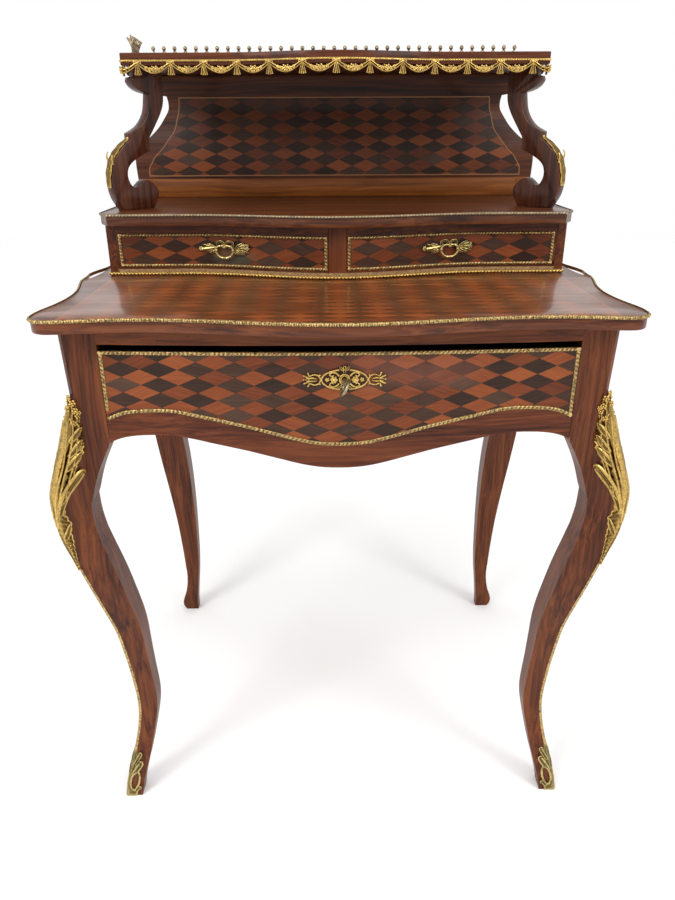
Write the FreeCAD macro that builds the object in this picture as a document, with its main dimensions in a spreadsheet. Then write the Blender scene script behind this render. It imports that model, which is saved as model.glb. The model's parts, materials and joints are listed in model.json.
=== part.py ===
import FreeCAD, Part
import math
import os
import re

V = FreeCAD.Vector
doc = FreeCAD.newDocument("bonheur_du_jour")
sheet = doc.addObject("Spreadsheet::Sheet", "sizes")

# Millimetres. X runs across the front, +Y to the back, +Z up, floor at zero.
SIZES = {
    # carcase
    "desk_high": 750, "top_thick": 16, "leg_out": 322, "leg_wide": 38,
    "face_front": -214, "face_back": 272, "apron_thick": 16, "apron_low": 592,
    "back_rail_thick": 14, "back_rail_low": 610,
    # writing top
    "corner_over": 27, "waist_over": 14.5, "ear_over": 32, "rear_over": 17,
    "top_corner": "=leg_out + corner_over", "top_waist": "=leg_out + waist_over",
    "top_ear": "=leg_out + ear_over", "top_rear": "=leg_out + rear_over",
    "top_recess": -240, "top_bulge": 29, "top_flat": 114, "top_corner_lip": 8,
    "top_bulge_reach": "=top_corner - top_flat",
    "rim_thick": 3, "rim_high": 4.5, "rim_proud": 1, "rim_stand_off": 13, "skin_gap": 0.3,
    "rim_gap": 0.45,
    # top rail and main drawer
    "drawer_bow": 12, "front_rail_high": 20.5, "drawer_gap": 7, "side_play": 0.6,
    "drawer_front_thick": 20, "drawer_side_thick": 10, "drawer_side_high": 87,
    "drawer_clear": 38, "drawer_floor": 5,
    "drawer_long": "=face_back - back_rail_thick - 4 - face_front - drawer_front_thick - drawer_clear",
    "drawer_box_inset": 3, "runner_wide": 36, "runner_thick": 13, "drawer_rise": 8.5,
    "drawer_top": "=desk_high - top_thick - front_rail_high - drawer_gap",
    "drawer_base": "=drawer_top - drawer_side_high - drawer_rise", "apron_drop": 34,
    "bead_wide": 5, "bead_thick": 2, "lower_bead_rise": 32,
    # lock
    "lock_off": 5, "key_high": 673, "key_shank": 2.5, "key_play": 0.08, "key_bow": 11,
    "key_bow_hole": 6.5, "key_bow_thick": 4, "key_reach": 24, "lock_wide": 56,
    "lock_high": 55, "lock_deep": 13, "bolt_wide": 16, "bolt_thick": 4, "bolt_play": 0.2,
    "bolt_throw": 14, "plate_wide": 98, "plate_high": 25, "plate_thick": 2,
    # case of small drawers
    "case_over": 1, "case_half": "=leg_out + case_over", "case_high": 71, "case_recess": 18,
    "case_bulge": 42, "case_flat": 108, "case_reach": "=case_half - case_flat",
    "case_side_thick": 12, "case_floor": 9, "case_back_thick": 12, "stile_wide": 24.6,
    "stile_deep": 18, "partition": 12, "small_play": 0.5, "small_front_thick": 16,
    "small_side_thick": 8, "small_long": 190, "small_floor": 4, "base_bead_high": 5,
    "base_bead_thick": 3, "frame_low": 5, "frame_high": 41.5, "frame_inset": 3,
    # middle shelf
    "shelf_over": 3.5, "shelf_half": "=case_half + shelf_over", "shelf_thick": 15,
    "shelf_recess": -10, "shelf_bulge": 35, "shelf_flat": 121.5,
    "shelf_reach": "=shelf_half - shelf_flat", "shelf_cut": 14, "strip_high": 4,
    "strip_thick": 2,
    # superstructure
    "bracket_high": 183, "bracket_thick": 17, "bracket_inset": 28.5, "bracket_y": 46,
    "bracket_turn": 45, "mount_thick": 3, "mount_wide": 14,
    "mount_gap": 0.9, "knee_thick": 2.4, "sabot_thick": 1.8, "fillet_thick": 1.2,
    "fillet_reach": 3,
    "panel_thick": 12, "base_rail_high": 28, "base_rail_thick": 6, "base_rail_inset": 25,
    "upper_inset": 40.5, "upper_half": "=shelf_half - upper_inset", "upper_thick": 15,
    "upper_recess": 54, "upper_bulge": 34, "upper_reach": 150,
    # garland and gallery
    "garland_thick": 1.6, "garland_top": 7, "tassel_drop": 12, "tassel_pitch": 43.9,
    "gallery_high": 26, "gallery_pitch": 16.8, "gallery_thick": 1.6, "pearl": 2.9,
    "gallery_back": 256, "gallery_front": 72, "gallery_inset": 4, "gallery_lean": 12,
    # handles
    "pull_x": 156, "pull_z": 37, "pull_wide": 72, "pull_thick": 2, "bail_wide": 28,
    "bail_drop": 17, "bail_bar": 3.4, "pin": 1.5, "pin_play": 0.06, "lug_wide": 5,
}
for row, (alias, value) in enumerate(SIZES.items(), start=1):
    sheet.set("A%d" % row, alias)
    sheet.set("B%d" % row, str(value))
    sheet.setAlias("B%d" % row, alias)
doc.recompute()


class Sizes:
    def __getattr__(self, alias):
        return float(sheet.get(alias))


q = Sizes()
pieces = []


def bind(text):
    return re.sub(r"[a-z]\w*", lambda word: "sizes." + word.group(0), text)


def keep(thing, label):
    thing.Label = label
    pieces.append(thing)
    return thing


def board(label, low, size):
    """A plain board: three expressions for its low corner, three for its size."""
    box = doc.addObject("Part::Box", label)
    for axis, text in zip("xyz", low):
        box.setExpression("Placement.Base." + axis, bind(text))
    for side, text in zip(("Length", "Width", "Height"), size):
        box.setExpression(side, bind(text))
    return keep(box, label)


def board_pair(label, inner, outer, low, size):
    """Left and right boards that span from inner to outer across X."""
    wide = "(%s) - (%s)" % (outer, inner)
    board(label + "_left", ("-(%s)" % outer,) + low, (wide,) + size)
    board(label + "_right", (inner,) + low, (wide,) + size)


def smooth_curve(points):
    curve = Part.BSplineCurve()
    curve.interpolate([V(a, b, 0) for a, b in points])
    return curve


def arcs(points):
    """Circular arcs from point to point that follow the smooth curve through them."""
    curve = smooth_curve(points)
    corners = [V(a, b, 0) for a, b in points]
    out = []
    for start, end in zip(corners, corners[1:]):
        middle = curve.value((curve.parameter(start) + curve.parameter(end)) / 2)
        if middle.distanceToLine(start, end - start) < 0.01:
            out.append(Part.LineSegment(start, end))
        else:
            out.append(Part.Arc(start, middle, end))
    return out


def draw(sketch, runs):
    """Closed outline: two points make a line, more make a smooth curve."""
    for run in runs:
        if not isinstance(run, list):
            pieces_of_run = [run]
        elif len(run) == 2:
            pieces_of_run = [Part.LineSegment(V(*run[0], 0), V(*run[1], 0))]
        else:
            pieces_of_run = arcs(run)
        for geometry in pieces_of_run:
            sketch.addGeometry(geometry, False)


def facets(points):
    """The points as separate runs, so that straight lines join them."""
    return [[p] for p in points]


def sampled(points, sag=0.15):
    """Points on the smooth curve, close enough for straight lines between them."""
    return [(p.x, p.y) for p in smooth_curve(points).toShape().discretize(Deflection=sag)]


def new_body(name):
    return doc.addObject("PartDesign::Body", name)


def sketch_in(body, role, lift="0"):
    sketch = body.newObject("Sketcher::SketchObject", body.Name + "_outline")
    plane = [p for p in body.Origin.OriginFeatures if p.Role == role][0]
    sketch.AttachmentSupport = [(plane, "")]
    sketch.MapMode = "FlatFace"
    if lift != "0":
        sketch.setExpression("AttachmentOffset.Base.z", bind(lift))
    return sketch


def padded(name, role, lift, length, *loops):
    """Body with one pad. XY_Plane pads go up, XZ_Plane pads go to the front."""
    body = new_body(name)
    sketch = sketch_in(body, role, lift)
    for runs in loops:
        draw(sketch, runs)
    pad = body.newObject("PartDesign::Pad", name + "_pad")
    pad.Profile = sketch
    pad.setExpression("Length", bind(length))
    body.Tip = pad
    doc.recompute()
    return body


def combined(kind, label, first, *others):
    """Part boolean of finished bodies, kept under its own label."""
    result = first
    for other in others:
        step = doc.addObject("Part::" + kind, label + "_" + kind.lower())
        step.Base = result
        step.Tool = other
        result = step
    doc.recompute()
    return result


def lofted(name, sections):
    """Body lofted up through flat outlines given as (height, points)."""
    body = new_body(name)
    sketches = []
    for height, points in sections:
        sketch = sketch_in(body, "XY_Plane")
        sketch.AttachmentOffset = FreeCAD.Placement(V(0, 0, height), FreeCAD.Rotation())
        closed = points + points[:1]
        draw(sketch, [closed[i:i + 2] for i in range(len(points))])
        sketches.append(sketch)
    doc.recompute()
    loft = body.newObject("PartDesign::AdditiveLoft", name + "_loft")
    loft.Profile = sketches[0]
    loft.Sections = sketches[1:]
    body.Tip = loft
    doc.recompute()
    return body


def flip(points, side):
    return [(side * a, b) for a, b in points]


def flip_runs(runs, side):
    return [flip(run, side) for run in runs]


def chain(*runs):
    """Closes a chain of runs with straight lines wherever their ends differ."""
    out = []
    for this, after in zip(runs, runs[1:] + runs[:1]):
        if len(this) > 1:
            out.append(this)
        if math.dist(this[-1], after[0]) > 1e-6:
            out.append([this[-1], after[0]])
    return out


def serpentine(x, recess, bulge, reach):
    if abs(x) >= reach:
        return recess
    return recess - bulge * (1 + math.cos(math.pi * x / reach)) / 2


def front_curve(half, recess, bulge, reach, forward=0.0, steps=6):
    """Front line from -half to half: flat, swelling to the middle, flat."""
    wave = []
    for i in range(-steps, steps + 1):
        x = reach * i / steps
        wave.append((x, serpentine(x, recess, bulge, reach) - forward))
    ends = recess - forward
    return [[(-half, ends), (-reach, ends)], wave, [(reach, ends), (half, ends)]]


def offset(points, distance):
    """Moves each point of an open line to its right-hand side."""
    out = []
    for i, (a, b) in enumerate(points):
        before = points[max(i - 1, 0)]
        after = points[min(i + 1, len(points) - 1)]
        da, db = after[0] - before[0], after[1] - before[1]
        size = math.hypot(da, db)
        out.append((a + distance * db / size, b - distance * da / size))
    return out


def mitred(points, distance):
    """Parallel copy of an open line, a distance to its left, with mitred corners."""
    normals = []
    for (a, b), (c, d) in zip(points, points[1:]):
        size = math.hypot(c - a, d - b)
        normals.append(((b - d) / size, (c - a) / size))
    out = []
    for i, (a, b) in enumerate(points):
        n = normals[max(i - 1, 0)]
        m = normals[min(i, len(normals) - 1)]
        k = distance / (1 + n[0] * m[0] + n[1] * m[1])
        out.append((a + k * (n[0] + m[0]), b + k * (n[1] + m[1])))
    return out


def smooth(table, at):
    """Smooth reading of a (position, value, ...) table, column by column."""
    i = 0
    while i < len(table) - 2 and at > table[i + 1][0]:
        i += 1
    rows = [table[max(i - 1, 0)], table[i], table[i + 1], table[min(i + 2, len(table) - 1)]]
    span = rows[2][0] - rows[1][0]
    t = (at - rows[1][0]) / span
    out = []
    for k in range(1, len(table[0])):
        before = (rows[2][k] - rows[0][k]) / max(rows[2][0] - rows[0][0], 1e-6) * span
        after = (rows[3][k] - rows[1][k]) / max(rows[3][0] - rows[1][0], 1e-6) * span
        a, b = rows[1][k], rows[2][k]
        out.append((2 * t**3 - 3 * t**2 + 1) * a + (t**3 - 2 * t**2 + t) * before
                   + (3 * t**2 - 2 * t**3) * b + (t**3 - t**2) * after)
    return out


# ---------------------------------------------------------------- front legs
# Height, swell of the outer arris, inner ridge (out, forward), rear corner depth,
# all measured outwards from the corner of the square block at the top.
FRONT_LEG = [
    (0, 10, -14, 10, -14), (20, 6, -18, 6, -18), (46, 0, -24, 0, -24), (74, -7, -32, -8, -32),
    (118, -17, -42, -18, -42), (158, -21, -49, -22, -49), (216, -18.5, -48, -20, -48),
    (260, -14, -47, -14, -47), (297, -10, -46, -11, -46), (355, 2, -39, 0, -40),
    (411, 13, -31, 9, -31), (437, 18, -26, 11, -28), (472, 26, -15, 7, -31),
    (505, 28.5, -6.5, 0.3, -36), (528, 28.5, -5.5, -0.6, -30), (549, 25, -5, -0.6, -25),
    (570, 20.5, -5, -0.6, -22), (598, 12, -5, -0.6, -20), (628, 4.5, -5, -0.6, -20),
    (652, -1, -5, -1.6, -20),
]
LEG_TABLE_TOP = 734.0
ARRIS_THINS, ARRIS_SPAN, SHOULDER_SPAN = 300, 250, 50
leg_scale = (q.desk_high - q.top_thick) / LEG_TABLE_TOP


def leg_corner(out, forward, side):
    return side * (q.leg_out + out), q.face_front - forward


def leg_profile(level):
    """Ridge, two corners of the blunted outer arris, rear corner, inner corner."""
    swell, ridge_out, ridge_fwd, rear = smooth(FRONT_LEG, level)
    share = min(1.0, (level - ARRIS_THINS) / ARRIS_SPAN,
                (FRONT_LEG[-1][0] - level) / SHOULDER_SPAN)
    blunt = 2.0 + 3.0 * max(0.0, share)
    return [(ridge_out, ridge_fwd), (swell - blunt, swell), (swell, swell - blunt),
            (ridge_fwd, rear), (ridge_out, rear)]


def leg_section(level, side):
    return [leg_corner(a, b, side) for a, b in leg_profile(level)]


def even_levels(low, high, step):
    """Evenly spaced section heights; uneven ones make a loft ripple."""
    count = round((high - low) / step)
    return [low + (high - low) * i / count for i in range(count + 1)]


LEVELS = even_levels(0, FRONT_LEG[-1][0], 26)


def arch_points(inner):
    """Inner edge of the leg block where it sweeps down into the knee."""
    drops = (0, 8, 25, 45, 66, 87)
    return [(value, q.apron_low - drop) for drop, value in zip(drops, inner)]


for side, word in ((-1, "left"), (1, "right")):
    inner = q.leg_out - q.leg_wide
    block_low = q.apron_low - 87
    edge = arch_points([inner, inner + 2, inner + 11, inner + 21, inner + 28, q.leg_out - 6.4])
    chamfer = 5
    block = padded("leg_block_" + word, "XZ_Plane", "-(face_front)", "leg_wide",
                   flip_runs(chain([(inner, q.desk_high - q.top_thick)], edge,
                                   [(q.leg_out, block_low)],
                                   [(q.leg_out, q.desk_high - q.top_thick)]), side))
    block.Tip.Reversed = True
    nib = padded("leg_nib_" + word, "XY_Plane", "0", "desk_high",
                 flip_runs(chain([(q.leg_out - chamfer, q.face_front)],
                                 [(q.leg_out + 1, q.face_front - 1)],
                                 [(q.leg_out, q.face_front + chamfer)]), side))
    post = combined("Cut", "leg_post_" + word, block, nib)
    curve = lofted("leg_curve_" + word,
                   [(z * leg_scale, leg_section(z, side)) for z in LEVELS])
    keep(combined("Fuse", "leg_front_" + word, post, curve), "leg_front_" + word)

# ----------------------------------------------------------------- rear legs
# Height, then the place measured from leg_out (sideways) or face_back (in depth).
REAR_OUT = [(0, -1), (18, 5), (40, -2), (110, -9), (215, -3), (310, 8), (406, 20), (490, 25),
            (560, 20), (620, 8), (680, 1), (734, 0)]
REAR_IN = [(0, -25), (24, -26), (95, -34), (170, -38), (300, -38), (404, -31), (470, -23),
           (520, -23), (560, -31), (592, -38)]
REAR_FACE = [(0, -18), (20, -20), (120, -25), (300, -32), (430, -37), (540, -39), (592, -38)]
REAR_BACK = [(0, 0.4), (24, -0.4), (120, -4), (250, -1), (400, 0)]
for side, word in ((-1, "left"), (1, "right")):
    front = [(q.leg_out + x, z * leg_scale) for z, x in REAR_OUT]
    inside = [(q.leg_out + x, z * leg_scale) for z, x in reversed(REAR_IN)]
    plan = padded("rear_shape_" + word, "XZ_Plane", "-(face_back) - 4", "50",
                  flip_runs(chain(front, [(q.leg_out - q.leg_wide, q.desk_high - q.top_thick)],
                                  inside), side))
    back_line = [(q.face_back + y, z * leg_scale) for z, y in REAR_BACK]
    face_line = [(q.face_back + y, z * leg_scale) for z, y in reversed(REAR_FACE)]
    profile = padded("rear_profile_" + word, "YZ_Plane", "-400", "800",
                     chain(back_line, [(q.face_back, q.desk_high - q.top_thick)],
                           [(q.face_back - q.leg_wide, q.desk_high - q.top_thick)],
                           face_line))
    keep(combined("Common", "leg_rear_" + word, plan, profile), "leg_rear_" + word)

# ------------------------------------------------------------ aprons, rails
block_back = q.face_front + q.leg_wide
rear_front = q.face_back - q.leg_wide
under_top = q.desk_high - q.top_thick
for side, word in ((-1, "left"), (1, "right")):
    low = [(block_back, q.apron_low), (block_back + 70, q.apron_low + 11),
           (block_back + 135, q.apron_low + 5), ((block_back + rear_front) / 2, q.apron_low - 12),
           (rear_front - 135, q.apron_low + 5), (rear_front - 70, q.apron_low + 11),
           (rear_front, q.apron_low)]
    start = "leg_out - 4 - apron_thick" if side > 0 else "-(leg_out - 4)"
    keep(padded("side_apron_" + word, "YZ_Plane", start, "apron_thick",
                chain(low, [(rear_front, under_top)], [(block_back, under_top)])),
         "side_apron_" + word)

board("back_rail",
      ("-(leg_out - leg_wide)", "face_back - back_rail_thick - 4", "back_rail_low"),
      ("2 * (leg_out - leg_wide)", "back_rail_thick", "desk_high - top_thick - back_rail_low"))

board_pair("drawer_runner", "leg_out - 4 - apron_thick - runner_wide",
           "leg_out - 4 - apron_thick",
           ("face_front + leg_wide", "drawer_base - runner_thick"),
           ("face_back - face_front - 2 * leg_wide", "runner_thick"))


def bow_line(half, forward, steps=4):
    """Shallow bow of the rail and main drawer between the front legs."""
    reach = q.leg_out - q.leg_wide
    out = []
    for i in range(-steps, steps + 1):
        x = half * i / steps
        out.append((x, q.face_front - forward - q.drawer_bow * (1 - (x / reach) ** 2)))
    return out


leg_inner = q.leg_out - q.leg_wide
rail_low = under_top - q.front_rail_high
rail = padded("rail_board", "XY_Plane", "desk_high - top_thick - front_rail_high",
              "front_rail_high", chain(bow_line(leg_inner, 0), [(leg_inner, block_back)],
                                       [(-leg_inner, block_back)]))
mortise = doc.addObject("Part::Box", "bolt_mortise")
bolt_y = "face_front + drawer_front_thick + (lock_deep - bolt_thick) / 2"
mortise.setExpression("Placement.Base.x", bind("lock_off - bolt_wide / 2 - 1"))
mortise.setExpression("Placement.Base.y", bind(bolt_y + " - 1"))
mortise.setExpression("Placement.Base.z",
                      bind("desk_high - top_thick - front_rail_high - 1"))
mortise.setExpression("Length", bind("bolt_wide + 2"))
mortise.setExpression("Width", bind("bolt_thick + 2"))
mortise.setExpression("Height", bind("bolt_throw + 1"))
keep(combined("Cut", "front_top_rail", rail, mortise), "front_top_rail")

# -------------------------------------------------------------- writing top
def top_side():
    """Right-hand side line of the writing top up to its ear."""
    corner, lip = q.top_corner, q.top_recess - q.top_corner_lip
    front = q.face_front
    return [(corner - 30, lip), (corner - 14, lip + 1.5), (corner - 4, lip + 10),
            (corner, lip + 22), (corner - 1, front + 12), (corner - 9, front + 50),
            (q.top_waist, front + 92), (q.top_waist + 3.5, front + 134),
            (q.top_ear - 5, front + 174), (q.top_ear, front + 197)]


def top_front():
    wave = front_curve(1, q.top_recess, q.top_bulge, q.top_bulge_reach)[1]
    lip = q.top_recess - q.top_corner_lip
    tail = [(q.top_bulge_reach + 25, q.top_recess - 0.5), (q.top_corner - 62, lip + 4)]
    lead = [(-a, b) for a, b in reversed(tail)]
    return [(-(q.top_corner - 30), lip)] + lead + wave + tail + [(q.top_corner - 30, lip)]


top_back = q.face_back - 2
right = top_side()
rear_right = [right[-1], (q.top_ear - 8.5, q.face_front + 234),
              (q.top_rear + 3, q.face_front + 294), (q.top_rear + 1, q.face_front + 390),
              (q.top_rear, top_back)]
left = [(-a, b) for a, b in reversed(right)]
rear_left = [(-a, b) for a, b in reversed(rear_right)]
shaped = left[:-1] + top_front() + right[1:]
keep(padded("desk_top", "XY_Plane", "desk_high - top_thick", "top_thick",
            chain(shaped, rear_right, rear_left)), "desk_top")

# The edging stands off the wood behind each ear: distance back from the face, share of the
# full stand-off.
STAND_OFF = [(197, 0), (226, 0.62), (245, 1), (264, 0.88), (297, 0.27), (350, 0.12), (420, 0.04),
             (484, 0)]
rim_rear = []
for a, b in sampled(rear_right):
    rim_rear.append((a + q.rim_stand_off * smooth(STAND_OFF, b - q.face_front)[0], b))
rim_line = [(-a, b) for a, b in reversed(rim_rear)] + shaped[1:-1] + rim_rear
rim_line = sampled(rim_line)
inner_rim = mitred(rim_line, -q.rim_gap)
outer_rim = mitred(rim_line, -q.rim_gap - q.rim_thick)
keep(padded("desk_top_edging", "XY_Plane", "desk_high + rim_proud - rim_high", "rim_high",
            chain(*facets(inner_rim + outer_rim[::-1]))), "desk_top_edging")

# -------------------------------------------------------------- main drawer
drawer_half = leg_inner - q.side_play
drawer_top = q.drawer_top


def drawer_low(rise=0.0, half=None):
    """Shaped lower edge: a deep drop in the middle and a small lift each side."""
    half = drawer_half if half is None else half
    base = q.apron_low - q.apron_drop + rise
    shape = [(0, 0), (0.1, 1.6), (0.2, 7.5), (0.4, 23), (0.57, 34), (0.71, 42), (0.825, 42.5),
             (0.93, 39), (1, 31)]
    right_half = [(half * a, base + b * q.apron_drop / 34) for a, b in shape]
    return [(-a, b) for a, b in reversed(right_half[1:])] + right_half


plate = padded("drawer_plate", "XZ_Plane", "-(face_front) - drawer_front_thick",
               "drawer_front_thick + drawer_bow + 2",
               chain(drawer_low(), [(drawer_half, drawer_top)], [(-drawer_half, drawer_top)]))
bow_back = q.face_front + q.drawer_front_thick
bowed = padded("drawer_bow_shape", "XY_Plane", "400", "400",
               chain(bow_line(drawer_half, 0), [(drawer_half, bow_back + 1)],
                     [(-drawer_half, bow_back + 1)]))
front = combined("Common", "drawer_front_shape", plate, bowed)
keyhole = doc.addObject("Part::Cylinder", "keyhole")
keyhole.setExpression("Radius", bind("key_shank + key_play"))
keyhole.setExpression("Height", bind("drawer_front_thick + drawer_bow + 10"))
keyhole.Placement = FreeCAD.Placement(V(0, 0, 0), FreeCAD.Rotation(V(1, 0, 0), 90))
keyhole.setExpression("Placement.Base.x", bind("lock_off"))
keyhole.setExpression("Placement.Base.y", bind("face_front + drawer_front_thick + 2"))
keyhole.setExpression("Placement.Base.z", bind("key_high"))
keep(combined("Cut", "main_drawer_front", front, keyhole), "main_drawer_front")

board_pair("main_drawer_side",
           "leg_out - leg_wide - drawer_box_inset - drawer_side_thick",
           "leg_out - leg_wide - drawer_box_inset",
           ("face_front + drawer_front_thick", "drawer_base"),
           ("drawer_long", "drawer_side_high"))
box_in = "(leg_out - leg_wide - drawer_box_inset - drawer_side_thick)"
board("main_drawer_back",
      ("-" + box_in, "face_front + drawer_front_thick + drawer_long - drawer_side_thick",
       "drawer_base + 2"),
      ("2 * " + box_in, "drawer_side_thick", "drawer_side_high - 6"))
board("main_drawer_bottom",
      ("-" + box_in, "face_front + drawer_front_thick", "drawer_base + 2"),
      ("2 * " + box_in, "drawer_long - drawer_side_thick", "drawer_floor"))

# Bronze bead frame laid on the bowed drawer front.
ring_out = chain(drawer_low(q.lower_bead_rise - q.bead_wide / 2, drawer_half),
                 [(drawer_half, drawer_top)], [(-drawer_half, drawer_top)])
in_half = drawer_half - q.bead_wide
ring_in = chain(drawer_low(q.lower_bead_rise + q.bead_wide / 2, in_half),
                [(in_half, drawer_top - q.bead_wide)], [(-in_half, drawer_top - q.bead_wide)])
ring = padded("bead_ring", "XZ_Plane", "-(face_front) - 30", "60", ring_out, ring_in)
skin = padded("bead_skin", "XY_Plane", "400", "400",
              chain(bow_line(drawer_half + 1, q.skin_gap),
                    list(reversed(bow_line(drawer_half + 1, q.skin_gap + q.bead_thick)))))
bead = combined("Common", "bead_common", ring, skin)
lost = doc.addObject("Part::Box", "bead_break")
lost.setExpression("Placement.Base.x", bind("-(leg_out - leg_wide)"))
lost.setExpression("Placement.Base.y", bind("face_front - 30"))
lost.setExpression("Placement.Base.z", bind("apron_low - apron_drop + lower_bead_rise + 33"))
lost.setExpression("Length", bind("bead_wide + 1"))
lost.Width = 60
lost.Height = 9
keep(combined("Cut", "main_drawer_beading", bead, lost), "main_drawer_beading")

# --------------------------------------------------------------------- lock
lock_y = q.face_front + q.drawer_front_thick
lock_block = doc.addObject("Part::Box", "lock_block")
lock_block.setExpression("Placement.Base.x", bind("lock_off - lock_wide / 2"))
lock_block.setExpression("Placement.Base.y", bind("face_front + drawer_front_thick"))
lock_block.setExpression("Placement.Base.z", bind("key_high - 22"))
lock_block.setExpression("Length", bind("lock_wide"))
lock_block.setExpression("Width", bind("lock_deep"))
lock_block.setExpression("Height", bind("lock_high"))
channel = doc.addObject("Part::Box", "bolt_channel")
channel.setExpression("Placement.Base.x", bind("lock_off - bolt_wide / 2 - bolt_play"))
channel.setExpression("Placement.Base.y", bind(bolt_y + " - bolt_play"))
channel.setExpression("Placement.Base.z", bind("key_high + 9"))
channel.setExpression("Length", bind("bolt_wide + 2 * bolt_play"))
channel.setExpression("Width", bind("bolt_thick + 2 * bolt_play"))
channel.Height = 60
ward = doc.addObject("Part::Cylinder", "key_chamber")
ward.Radius = 8.5
ward.setExpression("Height", bind("lock_deep + 2"))
ward.Placement = FreeCAD.Placement(V(0, 0, 0), FreeCAD.Rotation(V(1, 0, 0), 90))
ward.setExpression("Placement.Base.x", bind("lock_off"))
ward.setExpression("Placement.Base.y", bind("face_front + drawer_front_thick + lock_deep - 2"))
ward.setExpression("Placement.Base.z", bind("key_high"))
keep(combined("Cut", "lock_case", lock_block, channel, ward), "lock_case")

board("lock_bolt",
      ("lock_off - bolt_wide / 2", bolt_y, "key_high + 9"),
      ("bolt_wide", "bolt_thick", "lock_high - 22 - 9"))

key_face = q.face_front - q.drawer_bow
shank_end = lock_y + q.lock_deep - 4
shank = doc.addObject("Part::Cylinder", "key_shank_rod")
shank.setExpression("Radius", bind("key_shank"))
shank.Height = shank_end - (key_face - q.key_reach)
shank.Placement = FreeCAD.Placement(V(q.lock_off, shank_end, q.key_high),
                                    FreeCAD.Rotation(V(1, 0, 0), 90))
bow_centre = key_face - q.key_reach - q.key_bow_hole - 1


def oval(centre, radius, tall=1.0, sides=16):
    """A many-sided ring line, as high as tall times its width."""
    points = []
    for i in range(sides):
        angle = 2 * math.pi * i / sides
        points.append((centre[0] + radius * math.cos(angle),
                       centre[1] + radius * tall * math.sin(angle)))
    return chain(*facets(points))


bow_ring = padded("key_bow_ring", "YZ_Plane", "lock_off - key_bow_thick / 2", "key_bow_thick",
                  oval((bow_centre, q.key_high), q.key_bow),
                  oval((bow_centre, q.key_high), q.key_bow_hole))
bit = doc.addObject("Part::Box", "key_bit")
bit.Length, bit.Width, bit.Height = 2.4, 6, 6.5
bit.Placement.Base = V(q.lock_off - 1.2, lock_y + 1.5, q.key_high - 8)
collar = doc.addObject("Part::Cylinder", "key_collar")
collar.Radius, collar.Height = 3.8, 3
collar.Placement = FreeCAD.Placement(V(q.lock_off, key_face - q.key_reach + 8, q.key_high),
                                     FreeCAD.Rotation(V(1, 0, 0), 90))
keep(combined("Fuse", "key", shank, bow_ring, bit, collar), "key")

# Pierced escutcheon: oval keyhole frame, a crossed loop and a leaf on each side.
half_wide, half_high = q.plate_wide / 2, q.plate_high / 2
key_mid = (q.lock_off, q.key_high)
plate_lift = "-(face_front) + drawer_bow + skin_gap"
frame_oval = padded("plate_oval", "XZ_Plane", plate_lift, "plate_thick",
              oval(key_mid, half_high * 1.72, 1 / 1.72),
              oval((key_mid[0] - 12.5, key_mid[1]), 4.6, 1.2),
              oval((key_mid[0] + 12.5, key_mid[1]), 4.6, 1.2),
              [Part.Circle(V(*key_mid, 0), V(0, 0, 1), q.key_shank + q.key_play)])
parts = [frame_oval]
for side in (-1, 1):
    middle = (key_mid[0] + side * (half_wide - 22), key_mid[1])
    parts.append(padded("plate_loop", "XZ_Plane", plate_lift, "plate_thick",
                        oval(middle, 8.5, 0.75), oval(middle, 4.8, 0.62)))
    tip = key_mid[0] + side * half_wide
    neck = key_mid[0] + side * (half_wide - 16)
    parts.append(padded("plate_leaf", "XZ_Plane", plate_lift, "plate_thick",
                        chain(*facets([(neck, key_mid[1] - 2.5),
                                       (tip - side * 8, key_mid[1] - 5.5),
                                       (tip, key_mid[1]),
                                       (tip - side * 8, key_mid[1] + 5.5),
                                       (neck, key_mid[1] + 2.5)]))))
crest = padded("plate_crest", "XZ_Plane", plate_lift, "plate_thick",
               chain(*facets([(key_mid[0] - 5, key_mid[1] + half_high - 2),
                              (key_mid[0] - 4, key_mid[1] + half_high + 2),
                              (key_mid[0], key_mid[1] + half_high + 4),
                              (key_mid[0] + 4, key_mid[1] + half_high + 2),
                              (key_mid[0] + 5, key_mid[1] + half_high - 2)])))
keep(combined("Fuse", "escutcheon", *(parts + [crest])), "escutcheon")

# ------------------------------------------------------ case of small drawers
case_in = q.case_half - q.case_side_thick
case_back = q.face_back - 1


def case_wave(first, last, forward=0.0, count=8):
    points = []
    for i in range(count + 1):
        x = first + (last - first) * i / count
        points.append((x, serpentine(x, q.case_recess, q.case_bulge, q.case_reach) - forward))
    return points


keep(padded("case_bottom", "XY_Plane", "desk_high", "case_floor",
            chain(case_wave(-case_in, case_in, count=16), [(case_in, case_back)],
                  [(-case_in, case_back)])), "case_bottom")
board_pair("case_side", "case_half - case_side_thick", "case_half",
           ("case_recess", "desk_high"), ("face_back - 1 - case_recess", "case_high"))
board("case_back",
      ("-(case_half - case_side_thick)", "face_back - 1 - case_back_thick",
       "desk_high + case_floor"),
      ("2 * (case_half - case_side_thick)", "case_back_thick", "case_high - case_floor"))
stile = q.stile_wide / 2
part_half = q.partition / 2
stile_back = q.case_recess - q.case_bulge + q.stile_deep
inner_back = case_back - q.case_back_thick
keep(padded("case_divider", "XY_Plane", "desk_high + case_floor", "case_high - case_floor",
            chain(case_wave(-stile, stile, count=4), [(stile, stile_back)],
                  [(part_half, stile_back)], [(part_half, inner_back)],
                  [(-part_half, inner_back)], [(-part_half, stile_back)],
                  [(-stile, stile_back)])), "case_divider")

base_line = sampled(case_wave(-q.case_half, q.case_half, count=24))


def band(name, role_lift, high, line, thick):
    """Upright band that follows a line at a small gap."""
    first = offset(line, q.skin_gap)
    second = offset(line, q.skin_gap + thick)
    return padded(name, "XY_Plane", role_lift, high, chain(first, list(reversed(second))))


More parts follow.
